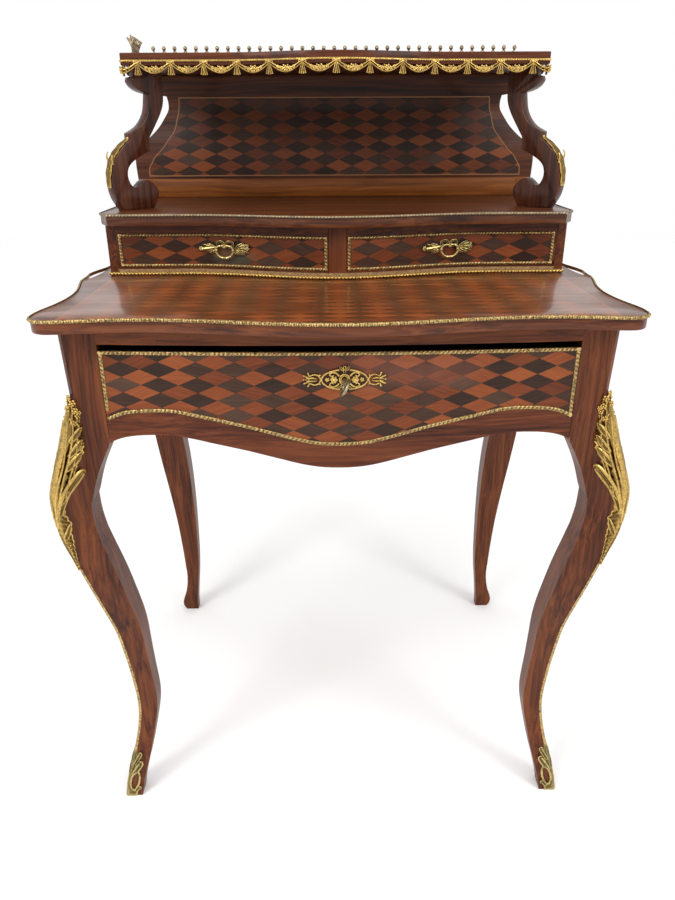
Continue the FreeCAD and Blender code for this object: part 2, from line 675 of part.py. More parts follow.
def square_band(name, lift, high, half, back, front_points, thick):
    """Band round both sides and the front of a board with square corners."""
    lines = []
    for gap in (q.skin_gap, q.skin_gap + thick):
        middle = [(a, b - gap) for a, b in front_points]
        lines.append([(-half - gap, back), (-half - gap, middle[0][1])] + middle[1:-1]
                     + [(half + gap, middle[-1][1]), (half + gap, back)])
    return padded(name, "XY_Plane", lift, high, chain(*facets(lines[0] + lines[1][::-1])))


keep(square_band("case_base_moulding", "desk_high", "base_bead_high", q.case_half,
                 case_back, base_line, q.base_bead_thick), "case_base_moulding")

# ------------------------------------------------------------- small drawers
small_low = "desk_high + case_floor + small_play"
small_high = "case_high - case_floor - 2 * small_play"
pull_face = serpentine(q.pull_x, q.case_recess, q.case_bulge, q.case_reach)
slope = math.atan((serpentine(q.pull_x + 5, q.case_recess, q.case_bulge, q.case_reach)
                   - serpentine(q.pull_x - 5, q.case_recess, q.case_bulge, q.case_reach)) / 10)
pin_high = q.desk_high + q.pull_z + 5
for side, word in ((-1, "left"), (1, "right")):
    first, last = stile + q.small_play, case_in - q.small_play
    if side < 0:
        first, last = -last, -first
    face = case_wave(first, last)
    behind = [(a, b + q.small_front_thick) for a, b in reversed(face)]
    keep(padded("small_front_" + word, "XY_Plane", small_low, small_high, chain(face, behind)),
         "small_drawer_front_" + word)
    inner_x = part_half + 8
    inner_start = serpentine(inner_x + q.small_side_thick, q.case_recess, q.case_bulge,
                             q.case_reach) + q.small_front_thick + q.skin_gap
    outer_x = case_in - q.small_play - q.small_side_thick - 1
    outer_start = q.case_recess + q.small_front_thick + q.skin_gap
    rear = outer_start + q.small_long
    for name, x_low, start in (("inner", inner_x, inner_start), ("outer", outer_x, outer_start)):
        box = doc.addObject("Part::Box", "small_side_%s_%s" % (name, word))
        box.setExpression("Length", bind("small_side_thick"))
        box.Width = rear - start
        box.setExpression("Height", bind("case_high - case_floor - 2 * small_play - 8"))
        box.Placement.Base.x = x_low if side > 0 else -x_low - q.small_side_thick
        box.Placement.Base.y = start
        box.setExpression("Placement.Base.z", bind(small_low))
        keep(box, "small_drawer_%s_side_%s" % (name, word))
    low_x, high_x = inner_x + q.small_side_thick, outer_x
    tail = doc.addObject("Part::Box", "small_drawer_tail_" + word)
    tail.Length = high_x - low_x
    tail.setExpression("Width", bind("small_side_thick"))
    tail.setExpression("Height", bind("case_high - case_floor - 2 * small_play - 12"))
    tail.Placement.Base.x = low_x if side > 0 else -high_x
    tail.Placement.Base.y = rear - q.small_side_thick
    tail.setExpression("Placement.Base.z", bind(small_low + " + 1"))
    keep(tail, "small_drawer_back_" + word)
    ends = (low_x, high_x) if side > 0 else (-high_x, -low_x)
    floor_front = [(a, b + q.small_front_thick + q.skin_gap) for a, b in case_wave(*ends)]
    keep(padded("small_floor_" + word, "XY_Plane", small_low + " + 1", "small_floor",
                chain(floor_front, [(ends[1], rear - q.small_side_thick)],
                      [(ends[0], rear - q.small_side_thick)])), "small_drawer_bottom_" + word)

    # bead frame
    frame_z = q.desk_high + q.case_floor + q.frame_low
    half_bead = q.bead_wide * 0.45
    x_a, x_b = min(abs(first), abs(last)) + 3, max(abs(first), abs(last)) - q.frame_inset
    corners = [(x_a - half_bead, frame_z - half_bead), (x_b, frame_z - half_bead),
               (x_b, frame_z + q.frame_high + half_bead),
               (x_a - half_bead, frame_z + q.frame_high + half_bead)]
    holes = [(x_a + half_bead, frame_z + half_bead), (x_b - 2 * half_bead, frame_z + half_bead),
             (x_b - 2 * half_bead, frame_z + q.frame_high - half_bead),
             (x_a + half_bead, frame_z + q.frame_high - half_bead)]
    loops = []
    for loop in (corners, holes):
        loops.append(flip_runs(chain(*[[p] for p in loop]), side))
    ring = padded("small_ring_" + word, "XZ_Plane", "-60", "140", *loops)
    skin = band("small_skin_" + word, "600", "300", case_wave(first - 2, last + 2, count=10),
                q.bead_thick)
    keep(combined("Common", "small_drawer_beading_" + word, ring, skin),
         "small_drawer_beading_" + word)

    # handle: ribbon bow and sprays cast as one plate, with two lugs for the bail
    mid_x, mid_z = q.pull_x, q.desk_high + q.pull_z
    half = q.pull_wide / 2
    upper = [(mid_x - half, mid_z - 1), (mid_x - half + 8, mid_z + 6), (mid_x - 20, mid_z + 4),
             (mid_x - 10, mid_z + 9), (mid_x, mid_z + 13), (mid_x + 10, mid_z + 9),
             (mid_x + 20, mid_z + 5), (mid_x + half - 6, mid_z + 7), (mid_x + half, mid_z)]
    lower = [(mid_x + half, mid_z), (mid_x + half - 8, mid_z - 6), (mid_x + 19, mid_z - 4),
             (mid_x + 10, mid_z + 1), (mid_x, mid_z + 3), (mid_x - 10, mid_z + 1),
             (mid_x - 19, mid_z - 5), (mid_x - half + 8, mid_z - 6), (mid_x - half, mid_z - 1)]
    spray = padded("pull_spray_" + word, "XZ_Plane", "-60", "140",
                   flip_runs(chain(*facets(upper + lower[1:-1])), side))
    leaf = band("pull_leaf_" + word, "600", "300", case_wave(first, last), q.pull_thick)
    base = combined("Common", "pull_base_" + word, spray, leaf)
    turn = FreeCAD.Rotation(V(0, 0, 1), math.degrees(slope) * side)
    place = FreeCAD.Placement(V(side * q.pull_x, pull_face, pin_high), turn)
    lug = doc.addObject("Part::Box", "pull_lug_" + word)
    lug.setExpression("Length", bind("lug_wide"))
    lug.Width, lug.Height = 8.2, 6
    lug.Placement = place.multiply(FreeCAD.Placement(V(-q.lug_wide / 2, -9, -3),
                                                     FreeCAD.Rotation()))
    body = combined("Fuse", "pull_plate_" + word, base, lug)
    bore = doc.addObject("Part::Cylinder", "pull_bore")
    bore.setExpression("Radius", bind("pin + pin_play"))
    bore.Height = 30
    bore.Placement = place.multiply(FreeCAD.Placement(
        V(-15, -6, 0), FreeCAD.Rotation(V(0, 1, 0), 90)))
    keep(combined("Cut", "handle_plate_" + word, body, bore), "handle_plate_" + word)

    # bail hanging from the pin, drawn flat and turned to the drawer's slope
    wide, drop = q.bail_wide / 2, q.bail_drop
    bar = q.bail_bar
    end = q.lug_wide / 2 + 1.5
    neck = bar / 2 + 0.3
    outer_line = [(end, neck), (wide * 0.75, 0.4), (wide, -drop * 0.45),
                  (wide * 0.62, -drop * 0.9), (0, -drop - 1)]
    inner_line = [(0, -drop - 1 + bar), (wide * 0.45, -drop * 0.76), (wide - bar, -drop * 0.45),
                  (wide * 0.6, -neck - 1), (end, -neck)]
    outer_line += [(-a, b) for a, b in reversed(outer_line[:-1])]
    inner_line = [(-a, b) for a, b in reversed(inner_line[1:])] + inner_line
    loop = padded("bail_loop_" + word, "XZ_Plane", "-(bail_bar) / 2", "bail_bar",
                  chain(*facets(sampled(outer_line, 0.3) + sampled(inner_line, 0.3))))
    loop.Placement = place.multiply(FreeCAD.Placement(V(0, -6, 0), FreeCAD.Rotation()))
    rod = doc.addObject("Part::Cylinder", "bail_pin_" + word)
    rod.setExpression("Radius", bind("pin"))
    rod.Height = 2 * end + 2
    rod.Placement = place.multiply(FreeCAD.Placement(
        V(-end - 1, -6, 0), FreeCAD.Rotation(V(0, 1, 0), 90)))
    keep(combined("Fuse", "handle_bail_" + word, loop, rod), "handle_bail_" + word)

# -------------------------------------------------------------- middle shelf
def shelf_line():
    wave = front_curve(1, q.shelf_recess, q.shelf_bulge, q.shelf_reach)[1]
    corner = q.shelf_half - q.shelf_cut
    return ([(-q.shelf_half, q.shelf_recess + 24), (-corner, q.shelf_recess)], wave,
            [(corner, q.shelf_recess), (q.shelf_half, q.shelf_recess + 24)])


shelf_back = q.face_back
left_cut, wave, right_cut = shelf_line()
keep(padded("mid_shelf", "XY_Plane", "desk_high + case_high", "shelf_thick",
            chain([(-q.shelf_half, shelf_back), left_cut[0]], left_cut, wave, right_cut,
                  [right_cut[1], (q.shelf_half, shelf_back)])), "mid_shelf")


def strip_line(gap):
    lean = gap * 0.55
    corner = q.shelf_half - q.shelf_cut
    near = [(-q.shelf_half - gap, shelf_back), (-q.shelf_half - gap, q.shelf_recess + 24 - lean),
            (-corner - lean, q.shelf_recess - gap)]
    far = [(-a, b) for a, b in reversed(near)]
    return near + [(a, b - gap) for a, b in sampled(wave)] + far


strip = strip_line(q.skin_gap) + strip_line(q.skin_gap + q.strip_thick)[::-1]
keep(padded("mid_shelf_edging", "XY_Plane",
            "desk_high + case_high + shelf_thick + 0.8 - strip_high", "strip_high",
            chain(*facets(strip))), "mid_shelf_edging")

# ------------------------------------------------------------------ brackets
shelf_z = q.desk_high + q.case_high + q.shelf_thick
SCROLL = [
    [(78, 183), (79, 155), (74, 130), (49, 93)],
    [(49, 93), (48, 77)],
    [(48, 77), (29, 69), (13, 58), (9, 44), (15, 31), (24.5, 31)],
    [(24.5, 31), (38, 39), (53, 29.5), (56, 18), (47, 0)],
    [(47, 0), (-3, 0)],
    [(-3, 0), (-14, 19), (-16.5, 43), (-9.5, 66), (4, 82), (19, 92)],
    [(19, 92), (19, 100)],
    [(19, 100), (38, 110), (51, 127), (56, 150)],
    [(56, 150), (45, 152.5), (35, 157.5), (29.5, 164.5), (31, 170)],
    [(31, 170), (37, 171)],
    [(37, 171), (37, 183)],
    [(37, 183), (78, 183)],
]
rise = q.bracket_high / 183.0
for side, word in ((-1, "left"), (1, "right")):
    runs = [[(-side * a * rise, b * rise) for a, b in run] for run in SCROLL]
    scroll = padded("scroll_" + word, "XZ_Plane", "0", "bracket_thick", runs)
    scroll.Tip.Reversed = True
    turn = FreeCAD.Rotation(V(0, 0, 1), -side * q.bracket_turn)
    bracket_x = q.shelf_half - q.bracket_inset
    scroll.Placement = FreeCAD.Placement(V(side * bracket_x, q.bracket_y, shelf_z), turn)
    keep(scroll, "bracket_" + word)
    edge = [(a * rise, b * rise) for a, b in sampled(SCROLL[5]) if b > 30]
    band_line = mitred(edge, q.mount_gap) + mitred(edge, q.mount_gap + q.mount_thick)[::-1]
    runs = chain(*facets([(-side * a, b) for a, b in band_line]))
    mount = padded("scroll_mount_" + word, "XZ_Plane",
                   "-(bracket_thick + mount_wide) / 2", "mount_wide", runs)
    mount.Placement = scroll.Placement
    keep(mount, "bracket_mount_" + word)

# ---------------------------------------------------------------- back panel
panel_high = q.bracket_high
panel_half = q.shelf_half
panel_rail = [(284, 183), (281, 178), (281, 150)]
panel_edge = [(266, 150), (265, 141), (267, 131), (271.5, 121), (279, 109), (289, 99), (301, 89)]
panel_ear = [(301, 89), (313, 82), (322, 72), (327, 60), (328, 46), (328, 30)]
scale_x = panel_half / 328.0
rail_end = [(a * scale_x, shelf_z + b * rise) for a, b in panel_rail]
edge = [(a * scale_x, shelf_z + b * rise) for a, b in panel_edge]
ear = [(a * scale_x, shelf_z + b * rise) for a, b in panel_ear]
foot = [(panel_half, shelf_z)]


def mirrored(run):
    return [(-a, b) for a, b in reversed(run)]


sheet_board = padded("panel_board", "XZ_Plane", "-(face_back - 2)", "panel_thick",
                     chain(*facets(rail_end), edge, ear, foot, mirrored(foot), mirrored(ear),
                           mirrored(edge), *facets(mirrored(rail_end))))
plinth = doc.addObject("Part::Box", "panel_base_rail")
plinth.setExpression("Placement.Base.x", bind("-(shelf_half - base_rail_inset)"))
plinth.setExpression("Placement.Base.y",
                     bind("face_back - 2 - panel_thick - base_rail_thick"))
plinth.setExpression("Placement.Base.z", bind("desk_high + case_high + shelf_thick"))
plinth.setExpression("Length", bind("2 * (shelf_half - base_rail_inset)"))
plinth.setExpression("Width", bind("base_rail_thick"))
plinth.setExpression("Height", bind("base_rail_high"))
keep(combined("Fuse", "back_panel", sheet_board, plinth), "back_panel")

# ----------------------------------------------------------------- top shelf
upper_z = shelf_z + q.bracket_high
upper_front = front_curve(q.upper_half, q.upper_recess, q.upper_bulge, q.upper_reach)
upper_back = q.face_back
keep(padded("top_shelf", "XY_Plane", "desk_high + case_high + shelf_thick + bracket_high",
            "upper_thick",
            chain([(-q.upper_half, upper_back), (-q.upper_half, q.upper_recess)], *upper_front,
                  [(q.upper_half, q.upper_recess), (q.upper_half, upper_back)])), "top_shelf")

# Garland: bead band with swags between tassels, round the front and both sides.
band_top = upper_z + q.garland_top
band_low = upper_z - q.tassel_drop
pitch = q.tassel_pitch
count = int(q.upper_half / pitch)


def swag_loops(first, last, tassels):
    """Outline of the pierced garland plate and of the gap above each swag."""
    lower = [(first, band_low + 4)]
    for at in tassels:
        lower += [(at - 5, band_low + 7), (at - 4, band_low), (at + 4, band_low),
                  (at + 5, band_low + 7)]
        if at != tassels[-1]:
            lower += [(at + pitch * 0.32, band_low + 2.6), (at + pitch * 0.5, band_low + 1.4),
                      (at + pitch * 0.68, band_low + 2.6)]
    lower += [(last, band_low + 4), (last, band_top), (first, band_top)]
    loops = [chain(*[[p] for p in lower])]
    for at in tassels[:-1]:
        gap = [(at + 6.5, band_top - 5), (at + pitch - 6.5, band_top - 5),
               (at + pitch * 0.7, band_low + 7.6), (at + pitch * 0.5, band_low + 6.4),
               (at + pitch * 0.3, band_low + 7.6)]
        loops.append(chain(*[[p] for p in gap]))
    return loops


reach = q.upper_half + q.skin_gap + q.garland_thick
front_tassels = [pitch * i for i in range(-count, count + 1)]
front_plate = padded("garland_front", "XZ_Plane", "-(upper_recess) - 1", "upper_bulge + 8",
                     *swag_loops(-reach, reach, front_tassels))
front_line = ([(-q.upper_half - 3, q.upper_recess)] + sampled(upper_front[1])
              + [(q.upper_half + 3, q.upper_recess)])
near = [(a, b - q.skin_gap) for a, b in front_line]
far = [(a, b - q.skin_gap - q.garland_thick) for a, b in front_line]
front_band = padded("garland_band", "XY_Plane", "900", "300",
                    chain(*facets(near + far[::-1])))
swags = combined("Common", "garland_swags", front_plate, front_band)
solids = [swags]
side_tassels = [q.upper_recess + 21 + pitch * i for i in range(5)]
side_loops = swag_loops(q.upper_recess - q.skin_gap - q.garland_thick, upper_back, side_tassels)
for side in (-1, 1):
    start = "upper_half + skin_gap" if side > 0 else "-(upper_half + skin_gap + garland_thick)"
    solids.append(padded("garland_side", "YZ_Plane", start, "garland_thick", *side_loops))
keep(combined("Fuse", "shelf_garland", *solids), "shelf_garland")

# Gallery: pointed arches with a pearl on each, along the back and the left side.
shelf_top = upper_z + q.upper_thick


def gallery_run(name, length, places):
    """Straight run of arches along local X, a pearl on every point, standing on the shelf."""
    number = int(round(length / q.gallery_pitch))
    step = length / number
    rail_top = 2.5
    peak = q.gallery_high - 2 * q.pearl + 0.8
    upper = [(0, peak)]
    holes = []
    for i in range(number):
        x = i * step
        upper += [(x + 0.9, peak), (x + step / 2, rail_top), (x + step - 0.9, peak)]
        if i:
            holes.append(chain([(x - step / 2 + 2.2, rail_top)], [(x + step / 2 - 2.2, rail_top)],
                               [(x, peak - 4.5)]))
    outline = chain(*facets(upper + [(length, peak), (length, 0), (0, 0)]))
    rail = padded(name, "XZ_Plane", "-(gallery_thick) / 2", "gallery_thick", outline, *holes)
    rail.Placement = places
    solids = [rail]
    for i in range(number + 1):
        bead = doc.addObject("Part::Prism", name + "_pearl")
        bead.Polygon = 4
        bead.setExpression("Circumradius", bind("pearl"))
        bead.setExpression("Height", bind("pearl * 1.6"))
        bead.Placement = places.multiply(FreeCAD.Placement(
            V(i * step, q.pearl * 0.8, q.gallery_high - q.pearl),
            FreeCAD.Rotation(V(1, 0, 0), 90)))
        solids.append(bead)
    return solids


gallery_half = q.upper_half - q.gallery_inset
back_run = gallery_run("gallery_back_run", 2 * gallery_half,
                       FreeCAD.Placement(V(-gallery_half, q.gallery_back, shelf_top),
                                         FreeCAD.Rotation()))
side_deep = q.gallery_back - 2 * q.pearl - q.gallery_front
side_turn = math.degrees(math.atan2(side_deep, -q.gallery_lean))
side_run = gallery_run("gallery_side_run", math.hypot(side_deep, q.gallery_lean),
                       FreeCAD.Placement(V(-gallery_half + q.gallery_lean, q.gallery_front,
                                           shelf_top),
                                         FreeCAD.Rotation(V(0, 0, 1), side_turn)))
gallery = doc.addObject("Part::MultiFuse", "gallery_all")
gallery.Shapes = back_run + side_run
doc.recompute()
keep(gallery, "shelf_gallery")

# -------------------------------------------------- bronze on the front legs
def towards(start, end, length):
    share = length / math.dist(start, end)
    return start[0] + (end[0] - start[0]) * share, start[1] + (end[1] - start[1]) * share


def arris_section(level, side, gap, thick, reach):
    """Bent strip round the outer arris, a gap off the wood."""
    ridge, front_corner, side_corner, rear, _ = leg_profile(level)
    line = [towards(front_corner, ridge, reach), front_corner, side_corner,
            towards(side_corner, rear, reach)]
    points = mitred(line, gap) + mitred(line, gap + thick)[::-1]
    return [leg_corner(a, b, side) for a, b in points]


# Height on the leg and how far the bronze reaches over each face.
KNEE = [(340, 3), (417, 3), (447, 4.5), (470, 6), (492, 9), (508, 8), (522, 8), (536, 12),
        (548, 19), (563, 26), (578, 20), (600, 13), (616, 7), (628, 4)]
SABOT = [(0, 16), (20, 17), (46, 13), (60, 9), (79, 5), (140, 3)]


def arris_mount(label, levels, gap, thick, reach_table):
    """Bronze on the arris, a flat-faced shell between one section and the next."""
    rings = []
    for z in levels:
        section = arris_section(z, side, gap, thick, smooth(reach_table, z)[0])
        rings.append([V(a, b, z * leg_scale) for a, b in section])
    faces = [Part.Face(Part.makePolygon(ring + ring[:1])) for ring in (rings[0], rings[-1])]
    for ring, above in zip(rings, rings[1:]):
        for i in range(len(ring)):
            k = (i + 1) % len(ring)
            for corner in ((ring[i], ring[k], above[k]), (ring[i], above[k], above[i])):
                faces.append(Part.Face(Part.makePolygon(corner + corner[:1])))
    shape = Part.Solid(Part.Shell(faces))
    if shape.Volume < 0:
        shape.reverse()
    piece = doc.addObject("Part::Feature", label + "_shape")
    piece.Shape = shape
    keep(piece, label)


SABOT_TOP, KNEE_LOW, KNEE_TOP = 78, 417, 628
fillet_table = [(0, q.fillet_reach), (700, q.fillet_reach)]
for side, word in ((-1, "left"), (1, "right")):
    arris_mount("knee_mount_" + word, even_levels(KNEE_LOW, KNEE_TOP, 15), q.mount_gap,
                q.knee_thick, KNEE)
    arris_mount("sabot_" + word, even_levels(0, SABOT_TOP, 20), q.mount_gap,
                q.sabot_thick, SABOT)
    arris_mount("leg_fillet_" + word, even_levels(SABOT_TOP, KNEE_LOW, 24), q.mount_gap,
                q.fillet_thick, fillet_table)

# -------------------------------------------------------------------- export
doc.recompute()
os.makedirs("parts", exist_ok=True)
for item in doc.Objects:
    if any(word in ("Invalid", "Error") for word in item.State):
        raise RuntimeError("%s is %s" % (item.Label, item.State))
for piece in pieces:
    shape = piece.Shape
    if shape.isNull() or not shape.isValid():
        raise RuntimeError(piece.Label + " has no valid shape")
    shape.exportStep("parts/%s.step" % piece.Label)
    print("%-28s %9.1f mm3  %2d solids" % (piece.Label, shape.Volume, len(shape.Solids)))
print(len(pieces), "pieces")
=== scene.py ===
import bpy
import bmesh
import json
import math
from mathutils import Matrix, Vector


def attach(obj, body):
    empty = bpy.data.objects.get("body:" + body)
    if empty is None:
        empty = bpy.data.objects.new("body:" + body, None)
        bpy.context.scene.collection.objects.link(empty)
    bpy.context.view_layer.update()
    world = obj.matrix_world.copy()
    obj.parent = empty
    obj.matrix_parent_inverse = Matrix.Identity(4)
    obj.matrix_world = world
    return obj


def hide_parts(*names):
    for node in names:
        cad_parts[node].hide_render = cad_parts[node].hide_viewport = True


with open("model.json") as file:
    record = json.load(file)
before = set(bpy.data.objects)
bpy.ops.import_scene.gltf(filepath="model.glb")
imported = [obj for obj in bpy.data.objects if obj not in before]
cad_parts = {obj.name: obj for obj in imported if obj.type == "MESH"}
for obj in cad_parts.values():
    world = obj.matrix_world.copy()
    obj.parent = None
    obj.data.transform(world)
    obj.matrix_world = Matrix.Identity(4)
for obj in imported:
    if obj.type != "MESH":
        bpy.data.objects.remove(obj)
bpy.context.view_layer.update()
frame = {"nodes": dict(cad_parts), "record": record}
nodes = frame["nodes"]
mm = 0.001
bothSides = ((-1, "left"), (1, "right"))
ahead, skyward = (0, -1, 0), (0, 0, 1)
print("frame loaded:", len(nodes), "nodes")


def placed(name, data):  # a new object in the scene
    item = bpy.data.objects.new(name, data)
    bpy.context.scene.collection.objects.link(item)
    return item


# camera
view = {"lens": 29.288, "place": (-0.01354, -1.04535, 0.94626), "pitch": 23.973, "yaw": -0.689,
        "roll": 0.261}
lensData = bpy.data.cameras.new("camera")
lensData.lens = view["lens"]
lensData.sensor_width = 36
camera = placed("camera", lensData)
camera.matrix_world = (Matrix.Translation(view["place"])
                       @ Matrix.Rotation(math.radians(view["yaw"]), 4, "Z")
                       @ Matrix.Rotation(math.radians(90 - view["pitch"]), 4, "X")
                       @ Matrix.Rotation(math.radians(-view["roll"]), 4, "Z"))
bpy.context.scene.camera = camera

# shader maths: a socket that takes Python arithmetic


def plug(item, values):  # numbers, colours or sockets into a node's inputs
    for key, value in values.items():
        if isinstance(value, Sock):
            value.tree.links.new(value.socket, item.inputs[key])
        else:
            item.inputs[key].default_value = value


def setStops(ramp, stops):
    while len(ramp.elements) > 1:
        ramp.elements.remove(ramp.elements[0])
    for i, (place, colour) in enumerate(stops):
        element = ramp.elements[0] if i == 0 else ramp.elements.new(place)
        element.position = place
        element.color = colour


def mathOf(operation):
    return lambda self, other: self.math(operation, other)


class Sock:
    def __init__(self, tree, socket=None):
        self.tree = tree
        self.socket = socket

    def node(self, kind, settings=None, inputs=None, out=0):
        made = self.tree.nodes.new("ShaderNode" + kind)
        for key, value in (settings or {}).items():
            if key == "stops":
                setStops(made.color_ramp, value)
            elif key == "ramp":
                made.color_ramp.interpolation = value
            else:
                setattr(made, key, value)
        plug(made, inputs or {})
        return Sock(self.tree, made.outputs[out])

    def math(self, operation, other=None):
        inputs = {0: self} if other is None else {0: self, 1: other}
        return self.node("Math", {"operation": operation}, inputs)

    __add__ = __radd__ = mathOf("ADD")
    __sub__ = mathOf("SUBTRACT")
    __mul__ = __rmul__ = mathOf("MULTIPLY")
    __truediv__ = mathOf("DIVIDE")
    __mod__ = mathOf("FLOORED_MODULO")
    __gt__ = mathOf("GREATER_THAN")
    __lt__ = mathOf("LESS_THAN")

    def __rsub__(self, other):
        return self.node("Math", {"operation": "SUBTRACT"}, {0: other, 1: self})

    def __abs__(self):
        return self.math("ABSOLUTE")

    def blend(self, low, high):  # colour low where self is 0, colour high where it is 1
        return self.node("Mix", {"data_type": "RGBA"}, {0: self, 6: low, 7: high}, 2)

    def smoothStep(self, low, high):
        return self.node("MapRange", {"interpolation_type": "SMOOTHSTEP"},
                         {0: self, 1: low, 2: high})

    def ramp(self, *stops):
        return self.node("ValToRGB", {"stops": stops}, {0: self})

    def noise(self, scale, detail, rough=0.55, twist=0.0):
        return self.node("TexNoise", {"noise_dimensions": "3D"},
                         {"Vector": self, "Scale": scale, "Detail": detail, "Roughness": rough,
                          "Distortion": twist})

    def bump(self, strength, distance):
        return self.node("Bump", inputs={"Strength": strength, "Distance": distance,
                                         "Height": self})

    def axes(self):
        split = self.node("SeparateXYZ", inputs={0: self}).socket.node
        return [Sock(self.tree, side) for side in split.outputs]


def vector(x, y, z):
    return x.node("CombineXYZ", inputs={0: x, 1: y, 2: z})


def rgb(*screen):  # 0..255 screen values to linear
    parts = [c / 255 for c in screen]
    return (*[c / 12.92 if c <= 0.04045 else ((c + 0.055) / 1.055) ** 2.4 for c in parts], 1)


def grey(value):
    return (value, value, value, 1)


def newMaterial(name):
    material = bpy.data.materials.new(name)
    material.use_nodes = True
    tree = material.node_tree
    tree.nodes.clear()
    shader = tree.nodes.new("ShaderNodeBsdfPrincipled")
    output = tree.nodes.new("ShaderNodeOutputMaterial")
    tree.links.new(shader.outputs[0], output.inputs[0])
    return material, shader, Sock(tree).node("TexCoord", out=3)


# wood
wood = {
    "rough": 0.40, "coat": 0.10, "coatRough": 0.12, "specular": 0.14,
    "streaks": 190.0, "along": 5.0, "sway": 0.016,
    "dark": rgb(38, 18, 10), "body": rgb(79, 38, 19), "light": rgb(112, 60, 30),
    "pore": rgb(22, 11, 9),
}


def grainSpace(place, grain):  # streaks along one axis, swaying across it
    sides = place.axes()
    sway = (vector(*[side * 6 for side in sides]).noise(1.0, 1.0) - 0.5) * wood["sway"]
    return vector(*[side * wood["along"] if axis == grain else (side + sway) * wood["streaks"]
                    for side, axis in zip(sides, "XYZ")])


def rosewoodColour(place, grain, shade=1.0, tint=(1, 1, 1)):
    def tone(name):
        return tuple(min(1, c * shade * t) for c, t in zip(wood[name], tint)) + (1,)
    space = grainSpace(place, grain)
    streak = space.noise(1.0, 5.0, 0.6, 0.6)
    figure = streak * 0.72 + space.noise(0.22, 2.0, 0.5) * 0.4 - 0.06
    colour = figure.ramp((0.30, tone("dark")), (0.45, tone("body")), (0.62, tone("light")),
                         (0.75, tone("body")))
    pores = space.noise(5.0, 2.0, 0.6).smoothStep(0.62, 0.72)
    return (pores * 0.55).blend(colour, tone("pore")), streak, pores


def polished(name, build, coat=wood["coat"], rough=wood["rough"]):
    material, shader, place = newMaterial(name)
    colour, streak, pores = build(place)
    plug(shader, {"Base Color": colour, "Roughness": streak * 0.16 + (rough - 0.08),
                  "Specular IOR Level": wood["specular"], "Coat Weight": coat,
                  "Coat Roughness": wood["coatRough"],
                  "Normal": (streak - pores * 0.5).bump(0.12, 0.0004)})
    return material


def rosewood(name, grain, shade=1.0, tint=(1, 1, 1), **finish):
    return polished(name, lambda place: rosewoodColour(place, grain, shade, tint), **finish)


lozenge = {
    "wide": 44.85 * mm, "high": 19.06 * mm,
    "red": [rgb(84, 39, 19), rgb(113, 55, 27), rgb(136, 72, 36)],
    "dark": [rgb(40, 25, 17), rgb(58, 37, 26), rgb(78, 56, 43)],
    "joint": rgb(34, 17, 13), "stops": ((0.25, 0.5, 0.78), (0.25, 0.5, 0.8)),
}


def lozengeColour(across, up, red):  # red: the middle of one red lozenge
    u = (across - red[0]) / lozenge["wide"]
    v = (up - red[1]) / lozenge["high"]
    a, b = u + v, u - v
    cellA, cellB = (a + 0.5).math("FLOOR"), (b + 0.5).math("FLOOR")
    chance, second = [across.node("TexWhiteNoise", {"noise_dimensions": "3D"},
                                  {"Vector": vector(*cell)})
                      for cell in ((cellA, cellB, 0.37), (cellB, cellA, 5.1))]
    turned = across.node("VectorRotate", {"rotation_type": "Z_AXIS"},
                         {"Vector": vector(across, up, 0), "Angle": (chance - 0.5) * 0.9})
    along, over = turned.axes()[:2]
    streak = vector(along * 22 + second * 40, over * 520, second * 9).noise(1.0, 3.0, 0.6, 0.3)
    tone = streak * 0.62 + (second - 0.5) * 0.42 + 0.19
    warm, dim = [tone.ramp(*zip(places, lozenge[name]))
                 for places, name in zip(lozenge["stops"], ("red", "dark"))]
    joint = abs(a - cellA).math("MAXIMUM", abs(b - cellB)).smoothStep(0.48, 0.5)
    colour = ((cellA + cellB) % 2).blend(warm, dim)
    return (joint * 0.5).blend(colour, lozenge["joint"]), streak


def curveOf(along, span, table, low, high):
    # smooth reading of a table: along/span gives 0..1, the answer runs from low to high
    stops = [(place / span, grey((value - low) / (high - low))) for place, value in table]
    ramp = along.node("ValToRGB", {"stops": stops, "ramp": "CARDINAL"}, {0: along / span})
    return ramp * (high - low) + low


def inlaid(inside, veneer, streak, plain):  # the veneer in its field, plain rosewood around it
    colour, plainStreak, pores = plain
    outside = 1 - inside
    return inside.blend(colour, veneer), streak * inside + plainStreak * outside, pores * outside


def spread(x, z, middle, reach):  # squared distance from a spot's middle, 1 at its edge
    far, rise = (x - middle[0]) / reach[0], (z - middle[1]) / reach[1]
    return far * far + rise * rise


mainDrawer = {
    "field": [(0, 589), (47, 594.5), (95, 606), (141, 616.5), (175, 628), (205, 633), (232, 633),
              (264, 627.5), (285, 619)],
    "top": 0.706, "red": (-0.0120, 0.6555), "band": (0.92, (1.0, 0.93, 0.98)),
    "wearAndSheen": ((0.052, 0.684), (0.11, 0.03)), "darkOval": ((0.005, 0.673), (0.0275, 0.0125)),
    "pale": rgb(150, 92, 74), "dullTone": rgb(44, 24, 15), "gapShadow": rgb(14, 9, 8),
}


